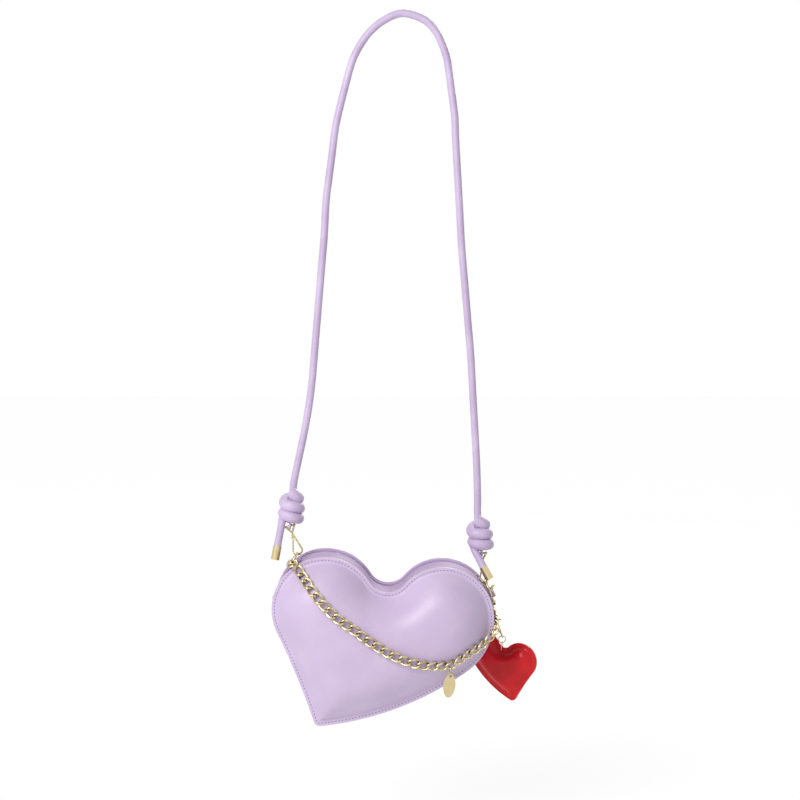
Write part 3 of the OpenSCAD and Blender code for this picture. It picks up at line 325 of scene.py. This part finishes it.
# The heart is cut after the same circles all through: two lobes, the cleft between them, a fuller hip
# below the right lobe, the tip, and two long flanks. The places are told from the left lobe's centre, in
# metres, and the hip's angle in degrees.
heart = dict(gap=0.1132, drop=0.0081, first=0.0505, second=0.0488, cleft=0.0205, hip=0.0616, hip_angle=7.5,
             depth=0.1078, out=0.0051, tip=0.0055, second_flank=0.2934, first_flank=0.7285)


def along(degrees):
    """The direction at an angle."""
    return np.array((math.cos(math.radians(degrees)), math.sin(math.radians(degrees))))


def heading(v):
    """The angle of a direction, in degrees."""
    return math.degrees(math.atan2(v[1], v[0]))


def meet(a, from_a, b, from_b, side):
    """The centre that lies one distance from a and another from b, on one side of their line."""
    step = b - a
    across = np.array((-step[1], step[0]))
    length = np.linalg.norm(step)
    reach = (from_a ** 2 - from_b ** 2 + length ** 2) / (2 * length)
    return a + (step * reach + side * math.sqrt(from_a ** 2 - reach ** 2) * across) / length


def heart_line(h, inset, spacing):
    """The heart's outline moved in by a distance, as points about evenly apart."""
    first = np.zeros(2)
    second = np.array((h["gap"], -h["drop"]))
    tip = np.array((-h["out"], -h["depth"]))
    hip = second + (h["second"] - h["hip"]) * along(h["hip_angle"])
    cleft = meet(first, h["first"] + h["cleft"], second, h["second"] + h["cleft"], 1)
    flank = meet(hip, h["second_flank"] - h["hip"], tip, h["second_flank"] - h["tip"], -1)
    hollow = meet(tip, h["tip"] + h["first_flank"], first, h["first"] + h["first_flank"], 1)
    runs = ((first, h["first"], heading(hollow - first), heading(cleft - first), -1),
            (cleft, h["cleft"], heading(first - cleft), heading(second - cleft), 1),
            (second, h["second"], heading(cleft - second), h["hip_angle"], -1),
            (hip, h["hip"], h["hip_angle"], heading(hip - flank), -1),
            (flank, h["second_flank"], heading(hip - flank), heading(tip - flank), -1),
            (tip, h["tip"], heading(tip - flank), heading(hollow - tip), -1),
            (hollow, h["first_flank"], heading(tip - hollow), heading(first - hollow), 1))
    points = []
    for centre, radius, start, stop, turn in runs:
        sweep = (turn * (stop - start)) % 360
        count = max(3, round(math.radians(sweep) * radius / spacing))
        points += [centre + (radius + turn * inset) * along(start + turn * sweep * k / count)
                   for k in range(count)]
    return np.array(points)


def edge_gap(points, line):
    """How far each point lies from the nearest stretch of a closed line."""
    a = line[None]
    step = np.roll(line, -1, axis=0)[None] - a
    gap = points[:, None] - a
    t = np.clip((gap * step).sum(2) / (step ** 2).sum(2), 0, 1)
    return np.linalg.norm(gap - t[..., None] * step, axis=2).min(1)


# The soft distance takes over from the plain one between these two gaps from the line.
soft_from = 0.002
soft_over = 0.004
least_gap = 1e-5


def soft_gap(points, line):
    """Nearly the distance from a closed line where that is small, but rounded off between its sides."""
    step = np.linalg.norm(np.roll(line, -1, axis=0) - line, axis=1)
    middle = (np.roll(line, -1, axis=0) + line) / 2
    gap = np.maximum(np.linalg.norm(points[:, None] - middle[None], axis=2), least_gap)
    whole = ((step / gap ** 4).sum(1) * 2 / math.pi) ** (-1 / 3)
    near = edge_gap(points, line)
    share = np.clip((near - soft_from) / soft_over, 0, 1)
    return near + (whole - near) * share


back_low, back_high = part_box("back_panel")
band_low, band_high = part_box("band")
lobe = Vector((back_low[0] + heart["first"], (band_low[1] + band_high[1]) / 2,
               back_high[2] - heart["first"]))


def stand(point, y):
    """A point of the heart's plane, y behind the middle of the band."""
    return Vector((lobe.x + point[0], lobe.y + y, lobe.z + point[1]))


# The front panel is one piece of lilac calf leather, moulded over a heart shaped block: a full dome with
# a narrow flat edge round it, whose cut side is painted.
lilac = leather("lilac_calf_leather", "#D0BBDC", "#D6C3E2", 0.0011, 0.0002, 0.34)
panel_thick = 0.002
half_band = (band_high[1] - band_low[1]) / 2
front_y = -half_band - panel_thick
edge_width = 0.0052
dome_height = 0.026
dome_reach = 0.04
panel_spacing = 0.0022
cut_edge_round = 0.0005


def disc(rings, steps, co):
    """A round sheet of rings, spun from one spoke, whose points are then moved to where they belong."""
    shape = bmesh.new()
    spoke = [shape.verts.new((k, 0, 0)) for k in range(rings + 1)]
    lines = [shape.edges.new(pair) for pair in zip(spoke, spoke[1:])]
    bmesh.ops.spin(shape, geom=spoke + lines, axis=(0, 0, 1), cent=(0, 0, 0), angle=2 * math.pi,
                   steps=steps, use_merge=True)
    bmesh.ops.remove_doubles(shape, verts=shape.verts, dist=0.001)
    for vert in shape.verts:
        ring = round(vert.co.xy.length)
        step = round(math.atan2(vert.co.y, vert.co.x) / (2 * math.pi) * steps) % steps
        vert.co = co(ring, step)
    return shape


# How far in towards the middle each ring of a dome lies. Three rings are flat: the rim, the foot and one
# between them. The dome rises steeply at first, with a slight hollow at its foot.
dome_shares = (0, 0.012, 0.03, 0.055, 0.085, 0.12, 0.155, 0.2, 0.25, 0.3, 0.36, 0.42, 0.49, 0.56, 0.64,
               0.72, 0.8, 0.9, 1)
flat_rings = 3
dome_round = 2.2
dome_foot = 1.08


def crown(h):
    """The place that the rings of a heart's dome close in on."""
    return np.array((h["gap"] * 0.5, -h["depth"] * 0.37))


def domed_sheet(h, edge, height, reach, spacing, place):
    """A flat edge, then a dome that is full a reach in from it. The rings count from the middle."""
    middle = crown(h)
    rim = heart_line(h, 0, spacing)
    foot = heart_line(h, edge, spacing)
    plain = heart_line(h, edge, spacing / 2)
    rings = [rim, (rim + foot) / 2] + [foot + (middle - foot) * share for share in dome_shares]
    heights = []
    for k, ring in enumerate(rings):
        u = np.minimum(1, soft_gap(ring, plain) / reach)
        heights.append(np.zeros(len(ring)) if k < flat_rings
                       else height * (1 - (1 - u) ** dome_round) ** dome_foot)
    last = len(rings) - 1
    return disc(last, len(rim), lambda ring, step: place(rings[last - ring][step],
                                                         heights[last - ring][step]))


shape = domed_sheet(heart, edge_width, dome_height, dome_reach, panel_spacing,
                    lambda p, up: stand(p, front_y - up))
front = finish_mesh("front_panel_leather", shape, lilac)


def thicken(piece, thickness, bevel=0.0):
    """Gives a sheet its thickness towards its back, and rounds its cut edges."""
    wall = piece.modifiers.new("thickness", "SOLIDIFY")
    wall.thickness = thickness
    wall.offset = -1
    if bevel:
        round_over = piece.modifiers.new("rounded edge", "BEVEL")
        round_over.width = bevel
        round_over.segments = 3
        round_over.limit_method = "ANGLE"
        round_over.angle_limit = math.radians(50)


thicken(front, panel_thick, cut_edge_round)
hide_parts("front_panel")
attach(front, "bag")

# The back panel is the same heart cut from the same leather and left flat. It is glued over its board and
# is what the purse lies on against the wearer.
back_rings = 3
rim_line = heart_line(heart, 0, panel_spacing)
back_middle = crown(heart)
shape = disc(back_rings, len(rim_line), lambda ring, step: stand(
    back_middle + (rim_line[step] - back_middle) * ring / back_rings, half_band + panel_thick))
back = finish_mesh("back_panel_leather", shape, lilac)
thicken(back, panel_thick, cut_edge_round)
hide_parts("back_panel")
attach(back, "bag")

# Both panels are sewn to the band with one row of plum thread a little in from the edge, each stitch
# sunk between two holes.
stitch_pitch = 0.0033
stitch_length = 0.0019
stitch_across = 0.0007
stitch_inset = 0.0027


def plain_thread(name, dark, light):
    """Twisted polyester thread, matt with a slight sheen."""
    material, tree, shader, place = new_material(name)
    tree.links.new(blotched(tree, place, dark, light, 0.002), shader.inputs["Base Color"])
    twist = add(tree, "ShaderNodeTexWave", {"Vector": place, "Scale": 900.0, "Distortion": 0.4})
    bump = add(tree, "ShaderNodeBump", {"Height": twist.outputs["Fac"], "Distance": 0.0001,
                                        "Strength": 0.5})
    tree.links.new(bump.outputs["Normal"], shader.inputs["Normal"])
    shader.inputs["Roughness"].default_value = 0.6
    return material


def evenly(points, pitch, closed):
    """Places a pitch apart along a line, each with the line's direction there."""
    line = np.vstack([points, points[:1]]) if closed else np.array(points)
    run = np.concatenate([[0], np.cumsum(np.linalg.norm(np.diff(line, axis=0), axis=1))])
    count = round(run[-1] / pitch)
    marks = (np.arange(count) + 0.5) * run[-1] / count
    at = np.array([np.interp(marks, run, line[:, k]) for k in range(line.shape[1])]).T
    ahead = np.array([np.interp(marks + pitch / 9, run, line[:, k]) for k in range(line.shape[1])]).T
    way = ahead - at
    return at, way / np.linalg.norm(way, axis=1)[:, None]


def sewn_row(points, out):
    """Stitches along a closed line of points on the leather, whose outside is towards out."""
    at, way = evenly(points, stitch_pitch, True)
    shape = bmesh.new()
    for centre, direction in zip(at, way):
        side = out.cross(Vector(direction)).normalized()
        turn = Matrix((Vector(direction), side, out)).transposed().to_4x4()
        sizes = Matrix.Diagonal((stitch_length / 2, stitch_across / 2, stitch_across / 2, 1))
        bmesh.ops.create_icosphere(shape, subdivisions=1, radius=1,
                                   matrix=Matrix.Translation(Vector(centre)) @ turn @ sizes)
    return shape


plum = plain_thread("plum_polyester_thread", "#5E4A74", "#75608C")
for name, y, out in (("front_stitches", front_y, Vector((0, -1, 0))),
                     ("back_stitches", half_band + panel_thick, Vector((0, 1, 0)))):
    row = [stand(p, y) for p in heart_line(heart, stitch_inset, 0.001)]
    stitches = finish_mesh(name, sewn_row(np.array(row), out), plum)
    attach(stitches, "bag")

# The band runs round between the panels. Below it is one strip; over the top it is two, with the zip
# between them near the back. It is the same leather, coloured deeper: partly its own darker dye and partly
# painted shade for the less light that the band takes. Its wide strips bow in a little.
rim_out = 0.0012
band_thick = 0.0018
band_bow = 0.0008
narrow_strip = 0.02
# The angles at which the zip's stretch begins on the left lobe and ends on the right one.
zip_start = 189
zip_end = 42
second_lobe = np.array((heart["gap"], -heart["drop"]))


def over_the_top(p):
    """Whether a point of the outline lies on the zip's stretch of the band."""
    if p[0] <= 0:
        return p[1] > p[0] * math.tan(math.radians(zip_start - 180))
    if p[0] >= second_lobe[0]:
        return p[1] - second_lobe[1] > (p[0] - second_lobe[0]) * math.tan(math.radians(zip_end))
    return p[1] > second_lobe[1] * p[0] / second_lobe[0]


def band_run(inset, top):
    """The stretch of the outline with the zip, or the rest of it, as an open line."""
    line = heart_line(heart, inset, 0.002)
    inside = [over_the_top(p) == top for p in line]
    start = next(k for k in range(len(line)) if inside[k] and not inside[k - 1])
    run = [line[(start + k) % len(line)] for k in range(len(line))]
    return np.array(run[:sum(inside)])


def sheet(columns, rows, co):
    """A sheet of quads whose points are moved to where they belong."""
    shape = bmesh.new()
    bmesh.ops.create_grid(shape, x_segments=columns, y_segments=rows, size=1)
    for vert in shape.verts:
        vert.co = co(round((vert.co.x + 1) / 2 * columns), round((vert.co.y + 1) / 2 * rows))
    return shape


def outward(run):
    """The directions out of the heart along a stretch of its outline."""
    step = np.gradient(run, axis=0)
    out = np.stack([-step[:, 1], step[:, 0]], axis=1)
    return out / np.linalg.norm(out, axis=1)[:, None]


heart_inside = stand((heart["gap"] / 2, -0.04), 0)


def strip(name, inset, top, y_low, y_high, thick, material, bow=0.0, rows=8, bevel=0.0004):
    """A strip of the band from one y to another, with its outer face on the outline."""
    run = band_run(inset, top)
    out = outward(run)

    def co(column, row):
        """A point of the strip, sunk in towards its middle by the bow."""
        share = row / rows
        sink = bow * 4 * share * (1 - share)
        return stand(run[column] - out[column] * sink, y_low + (y_high - y_low) * share)

    shape = sheet(len(run) - 1, rows, co)
    piece = finish_mesh(name, shape, material)
    if sum(f.normal.dot(f.center - heart_inside) for f in piece.data.polygons) < 0:
        piece.data.flip_normals()
    thicken(piece, thick, bevel)
    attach(piece, "bag")
    return piece


zip_y = 0.0155
zip_width = 0.01
zip_front = zip_y - zip_width / 2
zip_rear = zip_y + zip_width / 2
# The band's leather is darker than the front's, partly by its own dye and partly as painted shade.
band_dye_and_shade = leather("lilac_calf_leather_band", "#B39CBE", "#BBA5C6", 0.0011, 0.0002, 0.5, 0.12, 0.0)
for name, node, top, low, high in (("lower_band", "band", False, -half_band, half_band),
                                   ("front_top_band", "front_strip", True, -half_band, zip_front),
                                   ("rear_top_band", "rear_strip", True, zip_rear, half_band)):
    piece = strip(name, rim_out, top, low, high, band_thick, band_dye_and_shade,
                  bow=band_bow if high - low > narrow_strip else 0)
    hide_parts(node)

# The zip: two woven tapes sewn in under the strips, whose inner edges nearly meet. Each carries a row of
# moulded teeth that grip between those of the other.
def woven(name, dark, light, thread):
    """Plain woven polyester: threads a real distance apart over and under one another."""
    material, tree, shader, place = new_material(name)
    tree.links.new(blotched(tree, place, dark, light, 0.004), shader.inputs["Base Color"])
    over = add(tree, "ShaderNodeTexWave", {"Vector": place, "Scale": 0.16 / thread}, bands_direction="Y")
    under = add(tree, "ShaderNodeTexWave", {"Vector": place, "Scale": 0.16 / thread},
                bands_direction="DIAGONAL")
    both = add(tree, "ShaderNodeMath", {0: over.outputs["Fac"], 1: under.outputs["Fac"]},
               operation="MULTIPLY")
    bump = add(tree, "ShaderNodeBump", {"Height": both.outputs["Value"], "Distance": 0.0002,
                                        "Strength": 0.7})
    tree.links.new(bump.outputs["Normal"], shader.inputs["Normal"])
    shader.inputs["Roughness"].default_value = 0.85
    shader.inputs["Sheen Weight"].default_value = 0.3
    return material


tape_cloth = woven("woven_zip_tape", "#B39CC8", "#C6B2D8", 0.0006)
tape_inset = rim_out + band_thick
tape_thick = 0.0007
tape_apart = 0.00005
front_tuck = 0.003
rear_tuck = 0.0025
for name, node, low, high in (
        ("front_tape", "front_zip_tape", zip_front - front_tuck, zip_y - tape_apart),
        ("rear_tape", "rear_zip_tape", zip_y + tape_apart, zip_rear + rear_tuck)):
    piece = strip(name, tape_inset, True, low, high, tape_thick, tape_cloth, rows=3, bevel=0)
    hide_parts(node)

# The teeth are moulded acetal, dyed to the leather, and are shot onto the tapes' edges. They are two
# millimetres apart and set in turn on either tape.
def moulded(name, dark, light, roughness):
    """A plain matt stuff of one colour that drifts a little."""
    material, tree, shader, place = new_material(name)
    tree.links.new(blotched(tree, place, dark, light, 0.003), shader.inputs["Base Color"])
    shader.inputs["Roughness"].default_value = roughness
    return material


acetal = moulded("moulded_acetal_teeth", "#A48CBB", "#B9A3CD", 0.45)
tooth_pitch = 0.002
tooth_aside = 0.0009
tooth_size = (0.0009, 0.0022, 0.0012)
tooth_proud = 0.0006
for name, node, side in (("front_teeth", "front_zip_teeth", -1), ("rear_teeth", "rear_zip_teeth", 1)):
    run = band_run(tape_inset - tooth_proud, True)
    at, way = evenly(run, tooth_pitch, False)
    shape = bmesh.new()
    for centre, direction in zip(at, way):
        spot = stand(centre + direction * side * tooth_pitch / 4, zip_y + side * tooth_aside)
        turn = Matrix.Rotation(-math.atan2(direction[1], direction[0]), 4, "Y")
        size = Matrix.Diagonal((*tooth_size, 1))
        bmesh.ops.create_cube(shape, size=1, matrix=Matrix.Translation(spot) @ turn @ size)
    teeth = finish_mesh(name, shape, acetal, smooth=False)
    rounding = teeth.modifiers.new("moulded edges", "BEVEL")
    rounding.width = 0.0002
    rounding.segments = 1
    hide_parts(node)
    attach(teeth, "bag")

# Two leather tabs are glued and sewn over the band and turned round the bars of the D rings. They, the
# strap's narrow ends in the eyes and the pull's tab are small pieces of the same leather with cut edges.
# The tabs take the band's darker leather, with its painted shade.
for node, body, finish, slot in (("left_tab", "bag", band_dye_and_shade, "leather"),
                                 ("right_tab", "bag", band_dye_and_shade, "leather"),
                                 ("left_tongue", "strap", cord_leather, "cord"),
                                 ("right_tongue", "strap", cord_leather, "cord"),
                                 ("zip_pull_tab", "pull", lilac, "leather")):
    shape = merged_copy(node)
    bmesh.ops.dissolve_limit(shape, angle_limit=math.radians(1), verts=shape.verts, edges=shape.edges)
    piece = finish_mesh(node + "_leather", shape, finish)
    round_over = piece.modifiers.new("soft cut edge", "BEVEL")
    round_over.width = 0.00025
    round_over.segments = 2
    round_over.limit_method = "ANGLE"
    round_over.angle_limit = math.radians(40)
    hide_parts(node)
    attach(piece, body)

# The tag is a small plain oval of gold plated sheet metal with a hole near its top, through which the
# lower of its two rings passes. It hangs from one of the lowest links of the chain and leans a little.
tag_wide = 0.0057
tag_tall = 0.0115
tag_thick = 0.001
tag_lean = 7
tag_hole_r = 0.0013
tag_hole_in = 0.0024
ring_wire = 0.0009
tag_steps = 64
tag_rings = 5
ring_low, ring_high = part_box("tag_lower_ring")
ring_middle = (Vector(ring_low) + Vector(ring_high)) / 2
tag_spot = Vector((ring_middle.x, ring_middle.y, ring_low[2] + ring_wire / 2))
hang = Matrix.Translation(tag_spot) @ Matrix.Rotation(math.radians(tag_lean), 4, "Y")


def oval_place(column, row):
    """A point of the oval, between the hole's edge in the first row and the plate's edge in the last."""
    angle = 2 * math.pi * (column % tag_steps) / tag_steps
    hole_edge = Vector((tag_hole_r * math.cos(angle), 0, tag_hole_r * math.sin(angle)))
    edge = Vector((tag_wide * math.cos(angle), 0, tag_hole_in - tag_tall + tag_tall * math.sin(angle)))
    return hang @ hole_edge.lerp(edge, row / tag_rings)


shape = sheet(tag_steps, tag_rings, oval_place)
bmesh.ops.remove_doubles(shape, verts=shape.verts, dist=1e-7)
oval_plate = finish_mesh("oval_tag_plate", shape, satin_gold, smooth=False)
wall = oval_plate.modifiers.new("thickness", "SOLIDIFY")
wall.thickness = tag_thick
wall.offset = 0
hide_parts("tag_plate")
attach(oval_plate, "tag")

# Inside are a board behind the back panel, a woven lining and a flat pocket of the same cloth, and in the
# charm there is wadding. All of them are hidden, since the zip and the charm are closed.
lining_cloth = woven("woven_cotton_lining", "#8E7D9E", "#A593B4", 0.0005)
for node in ("back_board", "back_lining", "inner_pocket", "band_lining"):
    dress(node, lining_cloth)
wadding = moulded("polyester_wadding", "#B9AFAF", "#D5CCCC", 0.95)
dress("charm_filling", wadding)

# The charm is two small heart shaped pieces of red patent leather, moulded into domes, glued and filled.
# Its long ring goes through a hole below the cleft.
def patent(name, dark, light):
    """Patent leather: dyed leather under a thick clear coat that shows soft lights."""
    material, tree, shader, place = new_material(name)
    tree.links.new(blotched(tree, place, dark, light, 0.02), shader.inputs["Base Color"])
    swell = add(tree, "ShaderNodeTexNoise", {"Vector": place, "Scale": 60.0, "Detail": 2.0})
    bump = add(tree, "ShaderNodeBump", {"Height": swell.outputs["Fac"], "Distance": 0.0004,
                                        "Strength": 0.3})
    tree.links.new(bump.outputs["Normal"], shader.inputs["Normal"])
    shader.inputs["Roughness"].default_value = 0.32
    shader.inputs["Specular IOR Level"].default_value = 0.1
    shader.inputs["Coat Weight"].default_value = 0.3
    shader.inputs["Coat Roughness"].default_value = 0.14
    return material


red = patent("red_patent_leather", "#C4121A", "#D81C24")
charm = dict(gap=0.0392, drop=0.0028, first=0.0175, second=0.0169, cleft=0.0071, hip=0.0213, hip_angle=7.5,
             depth=0.0373, out=0.0018, tip=0.0046, second_flank=0.101, first_flank=0.252)
charm_turn = 29
charm_tilt = 15.8
charm_thick = 0.001
charm_edge = 0.0044
charm_dome = 0.006
charm_reach = 0.009
charm_spacing = 0.0009
charm_hole_in = 0.0042
hole_above_ring = 0.00026
ring_low, ring_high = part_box("charm_jump_ring")
hole_at = Vector(((ring_low[0] + ring_high[0]) / 2, (ring_low[1] + ring_high[1]) / 2,
                  ring_low[2] + hole_above_ring))
first_reach = charm["first"] + charm["cleft"]
second_reach = charm["second"] + charm["cleft"]
cleft_at = meet(np.zeros(2), first_reach, np.array((charm["gap"], -charm["drop"])), second_reach, 1)
hole = cleft_at - np.array((0, charm["cleft"] + charm_hole_in))
hung = (Matrix.Translation(hole_at) @ Matrix.Rotation(math.radians(-charm_turn), 4, "Z")
        @ Matrix.Rotation(math.radians(charm_tilt), 4, "Y"))
for name, node, face in (("charm_front_leather", "charm_front", -1),
                         ("charm_back_leather", "charm_back", 1)):
    def place(p, up, face=face):
        """A point of the hanging charm, up out of this face."""
        return hung @ Vector((hole[0] - p[0], face * (charm_thick + up), p[1] - hole[1]))

    shape = domed_sheet(charm, charm_edge, charm_dome, charm_reach, charm_spacing, place)
    piece = finish_mesh(name, shape, red)
    outside = hung.to_3x3() @ Vector((0, face, 0))
    if sum(f.normal.dot(outside) for f in piece.data.polygons) < 0:
        piece.data.flip_normals()
    thicken(piece, charm_thick, 0.00025)
    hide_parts(node)
    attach(piece, "charm")

# A plain pale paper floor lies under the hanging purse. Three large lamps light it softly, from the left
# in front, from above them and from behind.
def seen_directly(tree):
    """One where the camera, a mirror or glass looks at a surface, and none for light between pieces."""
    path = add(tree, "ShaderNodeLightPath")
    mirrored = add(tree, "ShaderNodeMath", {0: path.outputs["Is Glossy Ray"],
                                            1: path.outputs["Is Transmission Ray"]}, operation="MAXIMUM")
    return add(tree, "ShaderNodeMath", {0: path.outputs["Is Camera Ray"], 1: mirrored.outputs["Value"]},
               operation="MAXIMUM").outputs["Value"]


def plain_pale(name):
    """White paper that shows as plain background and still takes the object's shadow."""
    material, tree, shader, place = new_material(name)
    seen = seen_directly(tree)
    tone = add(tree, "ShaderNodeMix", {0: seen}, data_type="RGBA")
    tone.inputs["A"].default_value = linear("#F4F4F4")
    tone.inputs["B"].default_value = linear("#8A8A8A")
    tree.links.new(tone.outputs["Result"], shader.inputs["Base Color"])
    away = add(tree, "ShaderNodeVectorMath", {0: place}, operation="LENGTH")
    far = add(tree, "ShaderNodeMapRange", {"Value": away.outputs["Value"], "From Min": 0.9, "From Max": 2.6,
                                           "To Min": 0.77, "To Max": 0.89}, interpolation_type="SMOOTHSTEP")
    glow = add(tree, "ShaderNodeMath", {0: seen, 1: far.outputs["Result"]}, operation="MULTIPLY")
    tree.links.new(glow.outputs["Value"], shader.inputs["Emission Strength"])
    shader.inputs["Emission Color"].default_value = linear("#FFFFFF")
    shader.inputs["Roughness"].default_value = 1
    shader.inputs["Specular IOR Level"].default_value = 0
    return material


floor_wide = 6
floor_long = 9
floor_near = 3
floor_height = cad_box[0][2] - 0.14
shape = sheet(1, 1, lambda column, row: Vector((floor_wide * (column - 0.5), floor_long * row - floor_near,
                                                floor_height)))
floor = finish_mesh("floor", shape, plain_pale("white_paper_floor"))


def lamp(name, at, towards, size, power):
    """A square lamp at a place, turned towards another, with its size and its power in watts."""
    data = bpy.data.lights.new(name, "AREA")
    data.shape = "SQUARE"
    data.size = size
    data.energy = power
    made = bpy.data.objects.new(name, data)
    made.location = at
    made.rotation_euler = (Vector(towards) - Vector(at)).to_track_quat("-Z", "Y").to_euler()
    bpy.context.collection.objects.link(made)


middle = (0, 0, -0.45)
lamp("key_light", (-0.95, -1.35, 0.35), middle, 0.8, 17.8)
lamp("fill_light", (-0.6, -1.12, 0.68), middle, 0.4, 3.7)
lamp("back_light", (0.5, 1.4, 0.45), middle, 1.0, 16)

world = bpy.data.worlds.new("studio")
world.use_nodes = True
bpy.context.scene.world = world
tree = world.node_tree
sky = tree.nodes["Background"]
strength = add(tree, "ShaderNodeMapRange", {"Value": seen_directly(tree), "To Min": 0.38, "To Max": 1.0})
sky.inputs["Color"].default_value = linear("#FFFFFF")
tree.links.new(strength.outputs["Result"], sky.inputs["Strength"])
bpy.context.scene.view_settings.view_transform = "Standard"
